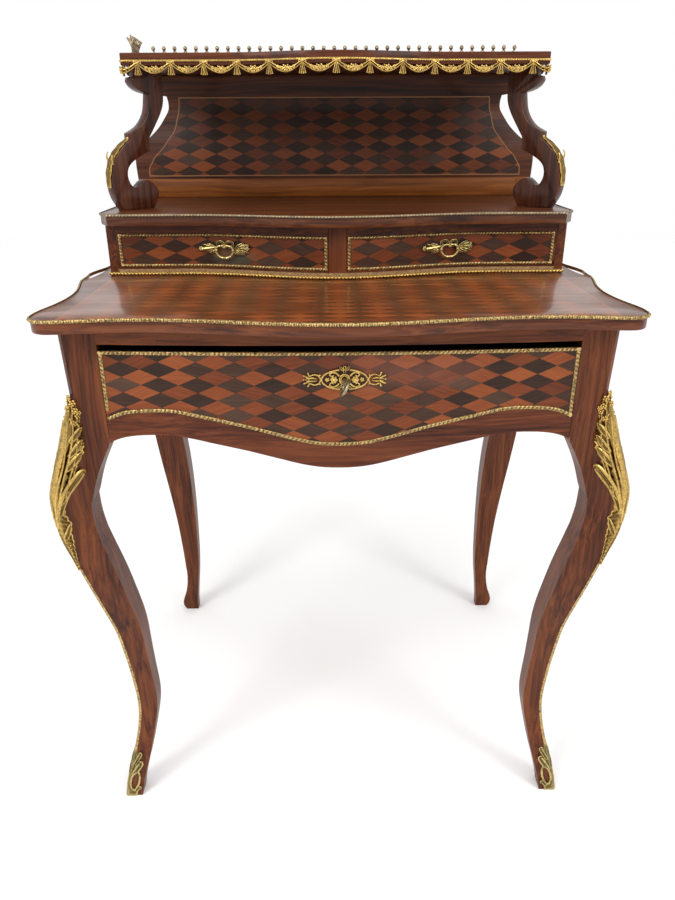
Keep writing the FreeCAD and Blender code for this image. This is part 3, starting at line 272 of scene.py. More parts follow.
def mainDrawerColours(place):
    x, y, z = place.axes()
    veneer, streak = lozengeColour(x, z, mainDrawer["red"])
    # a paler, rubbed patch near the key
    wearAndSheen = place.noise(14.0, 3.0, 0.6) * 0.9 - spread(x, z, *mainDrawer["wearAndSheen"]) * 0.35
    veneer = (wearAndSheen.smoothStep(0.05, 0.6) * 0.34).blend(veneer, mainDrawer["pale"])
    # darker inside the key plate's oval bezel
    darkOval = (1 - spread(x, z, *mainDrawer["darkOval"])).smoothStep(-0.25, 0.25) * 0.72
    veneer = darkOval.blend(veneer, mainDrawer["dullTone"])
    lower = curveOf(abs(x) * 1000, 285, mainDrawer["field"], 580, 640)
    inside = ((z * 1000) > lower) * (z < mainDrawer["top"])
    colour, streak, pores = inlaid(inside, veneer, streak,
                                   rosewoodColour(place, "X", *mainDrawer["band"]))
    # the drawer's top face is painted near black: painted shadow in the gap under the rail
    top = z > mainDrawer["top"] + 0.0003
    return top.blend(colour, mainDrawer["gapShadow"]), streak, pores


smallDrawer = {"low": 0.766, "high": 0.8035, "inner": 0.0175, "outer": 0.3035,
               "red": (0.0194, 0.7999), "stain": rgb(74, 82, 66),
               "stained": ((-0.150, 0.778), (0.045, 0.016))}


def smallDrawerColours(place):
    x, y, z = place.axes()
    veneer, streak = lozengeColour(x, z, smallDrawer["red"])
    inside = (z > smallDrawer["low"]) * (z < smallDrawer["high"]) * (abs(x) < smallDrawer["outer"])
    inside = inside * (abs(x) > smallDrawer["inner"])
    stained = place.noise(30.0, 3.0, 0.6) - spread(x, z, *smallDrawer["stained"]) * 0.4
    veneer = (stained.smoothStep(0.1, 0.6) * 0.5).blend(veneer, smallDrawer["stain"])
    return inlaid(inside, veneer, streak, rosewoodColour(place, "X", 0.95))


backPanel = {
    "side": [(0, 308), (17, 304.5), (37, 288), (63, 265), (92, 253), (117, 249)],
    "low": 0.869, "high": 0.986, "red": (0.0065, 0.8836), "string": rgb(150, 104, 66),
    "shade": rgb(34, 20, 14), "line": 0.0008, "front": 0.2595, "railTop": 0.8645,
    "rail": ((0.3, rgb(92, 48, 18)), (0.6, rgb(126, 70, 26)), (0.8, rgb(152, 92, 40))),
}


def backPanelColours(place):
    x, y, z = place.axes()
    low, high, line = backPanel["low"], backPanel["high"], backPanel["line"]
    veneer, streak = lozengeColour(x, z, backPanel["red"])
    # the plain rosewood here is a darker copy: painted shade under the upper shelf
    plain = rosewoodColour(place, "X", 0.6)
    golden = plain[1].ramp(*backPanel["rail"])
    side = curveOf((z - low) * 1000, 117, backPanel["side"], 240, 310) * mm
    front = y < backPanel["front"]
    inside = (z > low) * (z < high) * (abs(x) < side) * front
    veneer = (z.smoothStep(0.88, 0.99) * 0.5 + 0.12).blend(veneer, backPanel["shade"])
    colour, streak, pores = inlaid(inside, veneer, streak, plain)
    nearSide = (abs(abs(x) - side) < line) * (z > low - line) * (z < high + line)
    nearEnd = ((abs(z - low) < line) + (abs(z - high) < line)) * (abs(x) < side + 0.0007)
    string = (nearSide + nearEnd).math("MINIMUM", 1.0) * front
    colour = (string * 0.8).blend(colour, backPanel["string"])
    rail = (z < backPanel["railTop"]) * (y < backPanel["front"] - 0.001)
    return rail.blend(colour, golden), streak, pores


deskTop = {
    "amber": rgb(146, 80, 34), "side": 0.315, "red": (0.0, -0.1), "wearAndSheen": rgb(142, 112, 98),
    "upper": 0.7496, "line": 0.0006,
}


def deskTopColours(place):
    x, y, z = place.axes()
    veneer, streak = lozengeColour(x, y, deskTop["red"])
    veneer = (abs(x).smoothStep(0.1, 0.3) * 0.1 + 0.22).blend(veneer, deskTop["amber"])
    upper = z > deskTop["upper"]
    inside = (abs(x) < deskTop["side"]) * upper
    colour, streak, pores = inlaid(inside, veneer, streak, rosewoodColour(place, "X"))
    string = (abs(abs(x) - deskTop["side"]) < deskTop["line"]) * upper
    colour = (string * 0.7).blend(colour, backPanel["string"])
    # paler, greyer clouds towards the sides of the top's upper face: painted reflection
    cloud = vector(x * 3, y * 9, z).noise(3.0, 4.0, 0.6)
    paintedReflection = abs(x).smoothStep(0.20, 0.30) * cloud.smoothStep(0.35, 0.65) * upper * 0.42
    return paintedReflection.blend(colour, deskTop["wearAndSheen"]), streak, pores


def oak(name, along="Y"):
    material, shader, place = newMaterial(name)
    streak = grainSpace(place, along).noise(1.6, 4.0, 0.6)
    colour = streak.ramp((0.3, rgb(104, 76, 46)), (0.55, rgb(150, 116, 76)),
                         (0.75, rgb(176, 144, 102)))
    plug(shader, {"Base Color": colour, "Roughness": streak * 0.2 + 0.55,
                  "Normal": streak.bump(0.25, 0.0004)})
    return material


# metal


def gilt(name, light, deep, dullTone, rough, tarnish, grain=0.45):
    # bright on raised edges, dark in the recesses as the hollows' patina together with painted
    # shade, with clouds of tarnish
    material, shader, place = newMaterial(name)
    cloud = place.noise(90.0, 4.0, 0.6)
    speck = place.noise(520.0, 2.0, 0.5)
    raised = place.node("NewGeometry", out=7).smoothStep(0.475, 0.57)
    raised = raised * (1 - speck.smoothStep(0.5, 0.62) * grain)
    wearAndSheen = cloud.smoothStep(0.48, 0.7) * tarnish
    plug(shader, {"Base Color": wearAndSheen.blend(raised.blend(deep, light), dullTone),
                  "Metallic": 1 - wearAndSheen * 0.5, "Roughness": rough + cloud * 0.22 - raised * 0.1,
                  "Normal": (speck + cloud).bump(0.35, 0.0003)})
    return material


bronze = gilt("giltBronze", rgb(216, 182, 106), rgb(70, 45, 17), rgb(104, 80, 48), 0.36, 0.5)
paleBronze = gilt("paleBronze", rgb(206, 176, 118), rgb(66, 44, 22), rgb(92, 70, 46), 0.4, 0.6, 0.8)
oldGilt = gilt("oldGilt", rgb(206, 184, 122), rgb(62, 48, 24), rgb(88, 82, 54), 0.36, 0.5, 0.5)
oldBronze = gilt("tarnishedBronze", rgb(168, 150, 122), rgb(84, 70, 52), rgb(84, 76, 68), 0.42, 0.6)
iron = gilt("keySteel", rgb(170, 160, 128), rgb(70, 62, 46), rgb(90, 74, 56), 0.38, 0.5)

uprightWood = rosewood("rosewoodUpright", "Z")
lyingWood = rosewood("rosewoodLying", "X")
# a darker copy of rosewood for the upper shelf: painted shade of the upper part
shadedWood = rosewood("rosewoodShaded", "X", 0.7, (1.0, 0.95, 0.95))
# a darker copy of rosewood for the brackets: painted shade under the upper shelf
bracketWood = rosewood("rosewoodBracket", "Z", 0.55, (1.05, 0.95, 0.92), coat=0.3)
shelfWood = rosewood("rosewoodShelf", "X", 0.95, (0.92, 1.02, 1.08), coat=0.3, rough=0.4)
sideWood = rosewood("rosewoodSide", "Y", 0.9)
oakWood = oak("oakLining")
oakCross = oak("oakCross", "X")
drawerVeneer = polished("drawerMarquetry", mainDrawerColours)
smallVeneer = polished("smallDrawerMarquetry", smallDrawerColours)
panelVeneer = polished("panelMarquetry", backPanelColours, coat=0.08, rough=0.42)
deskVeneer = polished("deskTopMarquetry", deskTopColours, coat=0.28, rough=0.34)
print("wood and metal ready")

finishes = {
    uprightWood: ["leg_front_left", "leg_front_right", "leg_rear_left", "leg_rear_right",
                  "case_divider"],
    lyingWood: ["front_top_rail"],
    shelfWood: ["mid_shelf"],
    shadedWood: ["top_shelf"],
    bracketWood: ["bracket_left", "bracket_right"],
    sideWood: ["side_apron_left", "side_apron_right", "case_side_left", "case_side_right"],
    drawerVeneer: ["main_drawer_front"],
    smallVeneer: ["small_drawer_front_left", "small_drawer_front_right"],
    panelVeneer: ["back_panel"],
    deskVeneer: ["desk_top"],
    iron: ["lock_case", "lock_bolt", "key"],
    oakCross: ["back_rail", "case_back", "main_drawer_back", "small_drawer_back_left",
               "small_drawer_back_right"],
}
chosen = {node: material for material, names in finishes.items() for node in names}
slotOf = {part["node"]: part["material_slot"] for part in frame["record"]["subparts"]}
for nodeName, item in nodes.items():
    material = chosen.get(nodeName)
    if material is None:
        material = bronze if slotOf[nodeName] == "gilt_bronze" else oakWood
    if not item.material_slots:
        item.data.materials.append(material)
    for slot in item.material_slots:
        slot.material = material
print("frame nodes dressed")

# mesh making, in millimetres


def flow(points, steps=6):  # smooth line through the points; flat ones lie at level 0
    points = [Vector((*p, 0)[:3]) for p in points]
    line = []
    for i in range(len(points) - 1):
        a, b, c = points[max(i - 1, 0)], points[i], points[i + 1]
        d = points[min(i + 2, len(points) - 1)]
        for k in range(steps):
            t = k / steps
            line.append(0.5 * (2 * b + (c - a) * t + (2 * a - 5 * b + 4 * c - d) * t * t
                               + (3 * b - a - 3 * c + d) * t ** 3))
    return line + [points[-1]]


def flatFlow(points, steps):
    return [(p.x, p.y) for p in flow(points, steps)]


def walk(line, gap):  # evenly spaced (place, direction, distance) along a line
    marks = [0.0]
    for a, b in zip(line, line[1:]):
        marks.append(marks[-1] + (b - a).length)
    count = max(1, round(marks[-1] / gap))
    out, i = [], 0
    for k in range(count + 1):
        far = marks[-1] * k / count
        while i < len(line) - 2 and marks[i + 1] < far:
            i += 1
        t = (far - marks[i]) / max(marks[i + 1] - marks[i], 1e-9)
        out.append((line[i].lerp(line[i + 1], t), (line[i + 1] - line[i]).normalized(), far))
    return out


def reading(table, at):  # straight reading of a (place, value) table
    if at <= table[0][0]:
        return table[0][1]
    for (a, v), (b, w) in zip(table, table[1:]):
        if at <= b:
            return v + (w - v) * (at - a) / (b - a)
    return table[-1][1]


def serpentine(x, recess, bulge, reach):
    return recess if abs(x) >= reach else recess - bulge * (1 + math.cos(math.pi * x / reach)) / 2


def valueOf(amount, t):
    return amount(t) if callable(amount) else amount


def barAxes(up, place, along):  # upward and sideways directions of a bar
    lift = up(place, along) if callable(up) else Vector(up)
    lift = (lift - along * lift.dot(along)).normalized()
    return lift, along.cross(lift)


roundBar = [(math.cos(math.pi * i / 4), math.sin(math.pi * i / 4)) for i in range(8)]
halfBar = [(-1, 0), (-0.85, 0.5), (-0.5, 0.86), (0, 1), (0.5, 0.86), (0.85, 0.5), (1, 0)]
leafBlade = [(-1, 0.1), (-0.78, 0.66), (-0.45, 0.8), (-0.14, 0.36), (0, 0.7), (0.14, 0.36),
             (0.45, 0.8), (0.78, 0.66), (1, 0.1), (0.6, -0.2), (-0.6, -0.2)]


class Casting:  # one mesh in the making
    def __init__(self):
        self.mesh = bmesh.new()

    def skin(self, rows):
        rings = [[self.mesh.verts.new(Vector(p) * mm) for p in row] for row in rows]
        count = len(rings[0])
        for low, high in zip(rings, rings[1:]):
            for i in range(count):
                k = (i + 1) % count
                self.mesh.faces.new((low[i], low[k], high[k], high[i]))
        self.mesh.faces.new(rings[0][::-1])
        self.mesh.faces.new(rings[-1])

    def slab(self, outline, levels, place=lambda a, b, c: (a, b, c)):
        # a board from its outline and (level, inset) steps of its edge
        self.skin([[place(a, b, level) for a, b in shrunk(outline, inset)]
                   for level, inset in levels])

    def rod(self, line, wide, up, high=None, section=roundBar):
        high = wide if high is None else high
        last = len(line) - 1
        rows = []
        for i, place in enumerate(line):
            along = (line[min(i + 1, last)] - line[max(i - 1, 0)]).normalized()
            lift, across = barAxes(up, place, along)
            w, h = valueOf(wide, i / last), valueOf(high, i / last)
            rows.append([place + across * (a * w) + lift * (b * h) for a, b in section])
        self.skin(rows)

    def leaf(self, points, wide, up, high):  # widens from its stalk and comes to a point
        self.rod(flow(points, 5), lambda t: wide * (
            0.12 + 0.88 * math.sin(math.pi * min(1, t * 0.92 + 0.12)) ** 0.8),
            up, lambda t: high * (1 - 0.4 * t), leafBlade)

    def strip(self, line, up, wide, high, relief, gap=0.8):
        # moulding laid on its line: relief(distance, -1..1 across) gives its height, 0..1
        rows = []
        for place, along, far in walk(line, gap):
            lift, across = barAxes(up, place, along)
            rows.append([place + across * (a * wide / 2) + lift * (high * b * relief(far, a))
                         for a, b in halfBar]
                        + [place + across * (a * wide / 2) - lift * 0.2 for a in (1, -1)])
        self.skin(rows)

    def bead(self, place, radius, up=skyward, flat=1.0, fine=1):
        turn = Vector(up).to_track_quat("Z", "Y").to_matrix().to_4x4()
        size = Matrix.Diagonal((1, 1, flat, 1))
        bmesh.ops.create_icosphere(self.mesh, subdivisions=fine, radius=radius * mm,
                                   matrix=Matrix.Translation(Vector(place) * mm) @ turn @ size)
    def flower(self, place, radius, up, petals=5, turn=0.0):
        up = Vector(up).normalized()
        side = up.orthogonal().normalized()
        other = up.cross(side)
        for i in range(petals):
            angle = turn + 2 * math.pi * i / petals
            out = side * math.cos(angle) + other * math.sin(angle)
            self.bead(Vector(place) + out * radius * 0.62, radius * 0.42, up, 0.7)
        self.bead(Vector(place) + up * radius * 0.25, radius * 0.36, up, 1.0)

    def finish(self, name, material, node, body="carcase", sharp=40):
        # the finished piece, on its body and in place of its plain node
        bmesh.ops.recalc_face_normals(self.mesh, faces=self.mesh.faces)
        data = bpy.data.meshes.new(name)
        self.mesh.to_mesh(data)
        self.mesh.free()
        data.shade_smooth()
        data.set_sharp_from_angle(angle=math.radians(sharp))
        data.materials.append(material)
        piece = placed(name, data)
        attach(piece, body)
        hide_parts(node)


def shrunk(outline, inset):  # closed anticlockwise outline moved inwards
    out = []
    for i, (x, y) in enumerate(outline):
        before = Vector((x, y)) - Vector(outline[i - 1])
        after = Vector(outline[(i + 1) % len(outline)]) - Vector((x, y))
        before, after = before.normalized(), after.normalized()
        left = Vector((-before.y, before.x))
        normal = (left + Vector((-after.y, after.x))).normalized()
        push = inset / max(0.4, normal.dot(left))
        out.append((x + normal.x * push, y + normal.y * push))
    return out


def roundedEdge(low, high, soft):
    return [(low, soft), (low + soft * 0.3, soft * 0.3), (low + soft, 0), (high - soft, 0),
            (high - soft * 0.3, soft * 0.3), (high, soft)]


def shelfBoard(name, outline, level, material, node):
    board = Casting()
    board.slab(outline, roundedEdge(*level))
    board.finish(name, material, node)


def waveLine(front):  # half of a serpentine front, from its middle outwards
    return [Vector((x, serpentine(x, *front), 0)) for x in range(0, front[2] + 1, 5)]


def wrapped(front, half, near, back, level, steps):
    # a front line with a straight run to the back from each of its ends
    depth = back - near
    return ([Vector((-half, back - depth * i / steps, level)) for i in range(steps)] + front
            + [Vector((half, near + depth * i / steps, level)) for i in range(1, steps + 1)])


def outwards(place, along):  # up direction of a moulding that runs round the front, left to right
    return along.cross(Vector(skyward))


def mirrored(line):
    return [Vector((-p[0], *p[1:])) for p in reversed(line)]


def roped(pitch, low=0.5, slant=0.0):
    return lambda far, a: low + (1 - low) * abs(math.sin(math.pi * far / pitch + a * slant)) ** 0.7


def beadAndLeaf(pitch):
    def relief(far, a):
        t = (far % pitch) / pitch
        if t < 0.36:
            return 0.35 + 0.65 * math.sqrt(max(0, 1 - ((t - 0.18) / 0.18) ** 2))
        return 0.42 + 0.4 * abs(math.sin((t - 0.36) / 0.64 * 2 * math.pi + a * 1.1))
    return relief


# writing top and its edging
# level: underside, upper face and softness; front: recess, bulge and reach of its wave

writingTop = {
    "level": (734, 750, 1.3), "front": (-240, 29, 235),
    "side": [(260, -240.5), (287, -244), (319, -248), (335, -246.5), (345, -238), (349, -226),
             (348, -202), (340, -164), (336.5, -122), (340, -80), (349, -40), (354, -17)],
    "rear": [(354, -17), (345.5, 20), (342, 80), (340, 176), (339, 270)],
    "standOff": [(-17, 0), (0, 0.4), (12, 0.62), (31, 1), (50, 0.88), (66, 0.58), (83, 0.27),
                 (136, 0.12), (206, 0.04), (270, 0)],
    "edgeWide": 4.5, "edgeDeep": 3.0, "edgeOff": 0.45, "edgePitch": 8.2, "edgeZ": 748.75,
    "offFrom": -17, "offMost": 13,
}
wave = waveLine(writingTop["front"])
topSide = flow(wave[-1:] + writingTop["side"], 5)
halfTop = wave[:-1] + topSide + flow(writingTop["rear"], 8)[1:]
topOutline = [(p.x, p.y) for p in mirrored(halfTop)[:-1] + halfTop]
shelfBoard("writingTop", topOutline, writingTop["level"], deskVeneer, "desk_top")


def standing(p):  # the edging stands off the wood behind each ear
    behind = p.y > writingTop["offFrom"] and p.x > 300
    off = writingTop["offMost"] * reading(writingTop["standOff"], p.y) if behind else 0
    return Vector((p.x + off, p.y, writingTop["edgeZ"]))


halfEdge = [standing(p) for p in halfTop]
edgeLine = mirrored(halfEdge)[:-1] + halfEdge
edgeLine = [p + outwards(p, (b - a).normalized()) * writingTop["edgeOff"]
            for a, p, b in zip(edgeLine[:1] + edgeLine, edgeLine, edgeLine[1:] + edgeLine[-1:])]
edging = Casting()
edging.strip(edgeLine, outwards, writingTop["edgeWide"], writingTop["edgeDeep"],
             beadAndLeaf(writingTop["edgePitch"]))
edging.finish("writingTopEdging", paleBronze, "desk_top_edging")
print("writing top made")

# drawer bead frames

drawerBow = {"y": -214, "bulge": 12, "reach": 284}
frames = {"wide": 5, "thick": 2, "pitch": 5.2, "half": 280.9, "top": 704, "rise": 32, "base": 558,
          "break": 632,
          "drop": [(0, 0), (0.1, 1.6), (0.2, 7.5), (0.4, 23), (0.57, 34), (0.71, 42),
                   (0.825, 42.5), (0.93, 39), (1, 31)]}


def bowedFace(x, z, off=0.3):  # point on the main drawer's front
    y = drawerBow["y"] - drawerBow["bulge"] * (1 - (x / drawerBow["reach"]) ** 2)
    return Vector((x, y - off, z))


def bowedUp(place, along):
    tilt = 2 * drawerBow["bulge"] * place.x / drawerBow["reach"] ** 2
    return Vector((tilt, -1, 0)).normalized()


lowHalf = flow([(a * frames["half"], frames["base"] + frames["rise"] + b)
                for a, b in frames["drop"]], 6)
lowLine = mirrored(lowHalf[1:]) + lowHalf
half, top = frames["half"], frames["top"]
corner = lowHalf[-1].y
runs = [
    [bowedFace(p.x, p.y) for p in lowLine],
    [bowedFace(half, corner - 1 + (top + 1 - corner) * i / 8) for i in range(9)],
    [bowedFace(half - 2 * half * i / 60, top) for i in range(61)],
    [bowedFace(-half, top - (top - frames["break"]) * i / 8) for i in range(9)],
]
beadFrame = Casting()
for run in runs:
    beadFrame.strip(run, bowedUp, frames["wide"], frames["thick"],
                    roped(frames["pitch"], 0.45, 0.9))
for x, z in ((half, top), (-half, top), (half, corner)):
    beadFrame.bead(bowedFace(x, z, 1.2), 2.9, ahead, 0.6, 2)
for far in range(-250, 251, 50):
    beadFrame.bead(bowedFace(far, top, 2.1), 0.9, ahead, 0.6)
beadFrame.finish("mainDrawerFrame", paleBronze, "main_drawer_beading", "main_drawer")

caseFront = {"front": (18, 42, 215), "half": 323, "near": 18, "back": 271}


def caseY(x):
    return serpentine(x, *caseFront["front"])


def caseFace(x, z, off=0.3):
    return Vector((x, caseY(x), z)) + caseUp(Vector((x, 0, 0))) * off


def caseUp(place, along=None):
    return Vector((caseY(place.x + 0.5) - caseY(place.x - 0.5), -1, 0)).normalized()


smallFrame = {"x": (15.8, 305.2), "z": (764, 805.5), "wide": 4.4, "thick": 1.9, "pitch": 4.6}
for side, word in bothSides:
    (a, b), (low, high) = smallFrame["x"], smallFrame["z"]
    beadFrame = Casting()
    lines = [[caseFace(side * (a + (b - a) * i / 40), z) for i in range(41)] for z in (low, high)]
    lines += [[caseFace(side * x, low + (high - low) * i / 4) for i in range(5)] for x in (a, b)]
    for line in lines:
        beadFrame.strip(line, caseUp, smallFrame["wide"], smallFrame["thick"],
                        roped(smallFrame["pitch"], 0.4, 0.9))
    for x, z in ((a, low), (a, high), (b, low), (b, high)):
        beadFrame.bead(caseFace(side * x, z, 1.0), 2.3, ahead, 0.6, 2)
    beadFrame.finish("smallDrawerFrame_" + word, paleBronze, "small_drawer_beading_" + word,
                     "small_drawer_" + word)
print("bead frames laid")

# bead rope under the case

baseRope = {"level": 752.5, "wide": 4.8, "thick": 1.7, "pitch": 4.9, "bead": 2.35, "off": 1.6}
half = caseFront["half"]
ropeFront = [Vector((x, caseY(x), baseRope["level"]))
             for x in [-half + 2 * half * i / 120 for i in range(121)]]
ropeLine = wrapped(ropeFront, half, caseFront["near"], caseFront["back"], baseRope["level"], 12)
rope = Casting()
for place, along, far in walk(ropeLine, baseRope["pitch"]):
    rope.bead(place + outwards(place, along) * baseRope["off"], baseRope["bead"], fine=2)
rope.strip(ropeLine, outwards, baseRope["wide"], baseRope["thick"], lambda far, a: 1.0, 6)
rope.finish("caseBaseRope", bronze, "case_base_moulding")

# middle shelf and its strip

middleShelf = {"level": (821, 836, 1.0), "front": (-10, 35, 205), "corner": (312.5, -10),
               "side": (326.5, 14), "back": 272, "stripOff": 0.3, "stripZ": 834.8,
               "stripHigh": 3.9, "stripThick": 1.9}
half, near = middleShelf["side"]
halfShelf = waveLine(middleShelf["front"]) + [Vector((*middleShelf["corner"], 0)),
                                              Vector((half, near, 0))]
shelfLine = mirrored(halfShelf)[:-1] + halfShelf
ends = [(side * half, middleShelf["back"]) for side in (-1, 1)]
shelfOutline = ends[:1] + [(p.x, p.y) for p in shelfLine] + ends[1:]
shelfBoard("middleShelf", shelfOutline, middleShelf["level"], shelfWood, "mid_shelf")
level, off = middleShelf["stripZ"], middleShelf["stripOff"]
stripLine = wrapped([Vector((p.x * 1.0009, p.y - off, level)) for p in shelfLine],
                    half + off, near, middleShelf["back"], level, 20)
strip = Casting()
strip.strip(stripLine, outwards, middleShelf["stripHigh"], middleShelf["stripThick"],
            roped(4.4, 0.5, 0.8))
strip.finish("middleShelfStrip", oldBronze, "mid_shelf_edging")

# upper shelf, garland and gallery

upperShelf = {"level": (1019, 1034, 1.2), "front": (54, 34, 150), "half": 286, "back": 272}


def upperY(x):
    return serpentine(x, *upperShelf["front"])


half = upperShelf["half"]
upperOutline = ([(-half, upperShelf["back"])]
                + [(x, upperY(x)) for x in [-half + half * i / 52 for i in range(105)]]
                + [(half, upperShelf["back"])])
shelfBoard("upperShelf", upperOutline, upperShelf["level"], shadedWood, "top_shelf")
garland = {"pitch": 43.9, "border": 1024.3, "knot": 1022.0, "sag": 1011.6, "tail": 1007.4,
           "off": 0.5, "bead": 1.35, "beadPitch": 3.3, "ribbon": 2.7, "ribbonThick": 1.5,
           "sideFirst": 21, "sideEnd": 216, "flowers": ((5.6, 2.2, 2.9), (10.4, 4.0, 2.3))}


def garlandSpot(far, z, off=0.0):
    # far runs along the front from the middle, then back along the sides
    off += garland["off"]
    side = -1 if far < 0 else 1
    reach = abs(far)
    if reach <= half:
        return Vector((far, upperY(far) - off, z))
    return Vector((side * (half + off), upperShelf["front"][0] + reach - half, z))


def garlandUp(far):
    if abs(far) <= half - 1.5:
        return Vector((upperY(far + 0.5) - upperY(far - 0.5), -1, 0)).normalized()
    if abs(far) <= half + 1.5:
        return Vector((math.copysign(0.7, far), -0.7, 0))
    return Vector((math.copysign(1, far), 0, 0))


swags = Casting()
frontTassels = [garland["pitch"] * i for i in range(-6, 7)]
sideTassels = [half + garland["sideFirst"] + garland["pitch"] * i for i in range(5)]
stations = [-s for s in reversed(sideTassels)] + frontTassels + sideTassels
ends = [-half - garland["sideEnd"], half + garland["sideEnd"]]
for first, last in zip([ends[0]] + stations, stations + [ends[1]]):
    span = last - first
    whole = span > 30
    line, steps = [], 14
    for i in range(steps + 1):
        t = i / steps
        bow = abs(2 * t - 1) if whole else t if first == stations[-1] else 1 - t
        z = garland["sag"] + (garland["knot"] - garland["sag"]) * bow ** 1.7
        if not whole:
            z = garland["knot"] - 5 * (1 - abs(2 * t - 1))
        line.append(garlandSpot(first + span * t, z, 0.6))
    upAt = lambda place, along: (garlandUp(place.x) if abs(place.x) < half
                                 else Vector((math.copysign(1, place.x), 0, 0)))
    swags.rod(line, lambda t: garland["ribbon"] * (0.62 + 0.5 * math.sin(math.pi * t)), upAt,
              garland["ribbonThick"], leafBlade)
    if whole:
        middle = (first + last) / 2
        up = garlandUp(middle)
        swags.flower(garlandSpot(middle, garland["sag"] + 2.0, 1.6), 4.0, up, 5, 0.3)
        for lean in (-1, 1):
            for away, drop, r in garland["flowers"]:
                spot = garlandSpot(middle + lean * away, garland["sag"] + drop, 1.5)
                swags.flower(spot, r, up, 5, away)
            spot = garlandSpot(middle + lean * 2.8, garland["sag"] + 5.6, 1.3)
            swags.bead(spot, 1.3, up, 0.8)
for far in stations:
    up = garlandUp(far)
    swags.bead(garlandSpot(far, garland["knot"], 1.2), 2.2, up, 0.7, 2)
    for lean in (-1, 1):
        tail = [garlandSpot(far, garland["knot"] - 1, 1.0),
                garlandSpot(far + lean * 1.5, 1014.5, 1.4),
                garlandSpot(far + lean * 2.7, garland["tail"], 1.0)]
        swags.rod(flow(tail, 4), lambda t: 0.9 + 1.5 * t, up, 1.3, leafBlade)
        loop = [garlandSpot(far + lean * 0.5, 1022, 1.0), garlandSpot(far + lean * 4, 1023.6, 1.6),
                garlandSpot(far + lean * 4.6, 1020.6, 1.2)]
        swags.rod(flow(loop, 4), 1.0, up, 0.9)
borderLine = [garlandSpot(ends[0] + 2 + (ends[1] - ends[0] - 4) * i / 400, garland["border"])
              for i in range(401)]
for place, along, far in walk(borderLine, garland["beadPitch"]):
    swags.bead(place + outwards(place, along) * 0.6, garland["bead"], skyward)
swags.strip(borderLine, outwards, 3.0, 1.0, lambda far, a: 1.0, 5)
swags.finish("garland", bronze, "shelf_garland")

gallery = {"top": 1034, "peak": 18.2, "pearl": 3.2, "bar": 1.05, "rail": 1.2, "back": 256,
           "half": 282.5, "count": 34, "front": (-273, 72), "broken": (-278, 134),
           "rear": (-282, 250.2)}


def galleryRun(work, start, stop, count, spear=0.0):
    start, stop = Vector((*start, gallery["top"])), Vector((*stop, gallery["top"]))
    step = (stop - start) / count
    rise = Vector(skyward)
    up = step.cross(rise).normalized()
    work.rod([end + rise * gallery["rail"] for end in (start, stop)], gallery["rail"], up)
    for i in range(count + 1):
        foot = start + step * i
        peak = foot + rise * gallery["peak"]
        for lean in (-0.5, 0.5):
            if 0 <= i + lean <= count:
                arch = [foot + step * lean + rise * 1.5, foot + step * lean * 0.72 + rise * 9,
                        foot + step * lean * 0.12 + rise * (gallery["peak"] - 0.5)]
                work.rod(flow(arch, 4), gallery["bar"], up)
                curl = [foot + step * lean * 0.86 + rise * 5, foot + step * lean * 0.3 + rise * 8.5,
                        foot + rise * 4]
                work.rod(flow(curl, 3), gallery["bar"] * 0.8, up)
        work.bead(peak - rise * 0.6, 1.5, rise, 0.6)
        if spear:
            side = Vector((1, 0, 0))
            for lean in (-1, 0, 1):
                tip = [peak - rise * 9, peak + side * lean * 3.2 - rise * 2,
                       peak + side * lean * 5.4 + rise * (spear - abs(lean) * 3)]
                work.rod(flow(tip, 3), lambda t: 1.7 - 1.2 * t, up, 1.1)
        else:
            work.bead(peak + rise * 3.1, gallery["pearl"], rise, 1.12, 2)
            work.bead(peak + rise * 6.2, 0.75, rise, 1.0)


fence = Casting()
galleryRun(fence, (-gallery["half"], gallery["back"]), (gallery["half"], gallery["back"]),
           gallery["count"])
galleryRun(fence, gallery["front"], gallery["broken"], 5, 4.2)
plainRail = [Vector((*gallery[end], gallery["top"] + gallery["rail"]))
             for end in ("broken", "rear")]
fence.rod(plainRail, gallery["rail"], (1, 0, 0))
fence.finish("gallery", oldBronze, "shelf_gallery")
print("upper shelf, garland and gallery made")

# back panel: levels are (y, inset) steps of its edge, and so are those of its base rail

panel = {"levels": [(258, 0.8), (258.3, 0.2), (259, 0), (269, 0), (270, 0.8)],
         "rail": [(-301.5, 836), (301.5, 836), (301.5, 864), (-301.5, 864)],
         "railLevels": [(251.6, 0.9), (252, 0.2), (252.8, 0), (258.4, 0)],
         "half": [(284, 1019), (281, 1014), (280, 990), (269, 988), (267, 978), (268, 968),
                  (275, 957), (284, 945), (294, 935), (305, 926), (315, 919), (324, 911),
                  (328.5, 900), (329, 884), (328, 866), (326.5, 836)]}
panelHalf = panel["half"][:4] + flatFlow(panel["half"][3:], 4)[1:]
panelOutline = [(-x, z) for x, z in reversed(panelHalf)] + panelHalf
board = Casting()
for outline, levels in ((panelOutline[::-1], panel["levels"]),
                        (panel["rail"], panel["railLevels"])):
    board.slab(outline, levels, lambda a, b, c: (a, c, b))
board.finish("backBoard", panelVeneer, "back_panel")

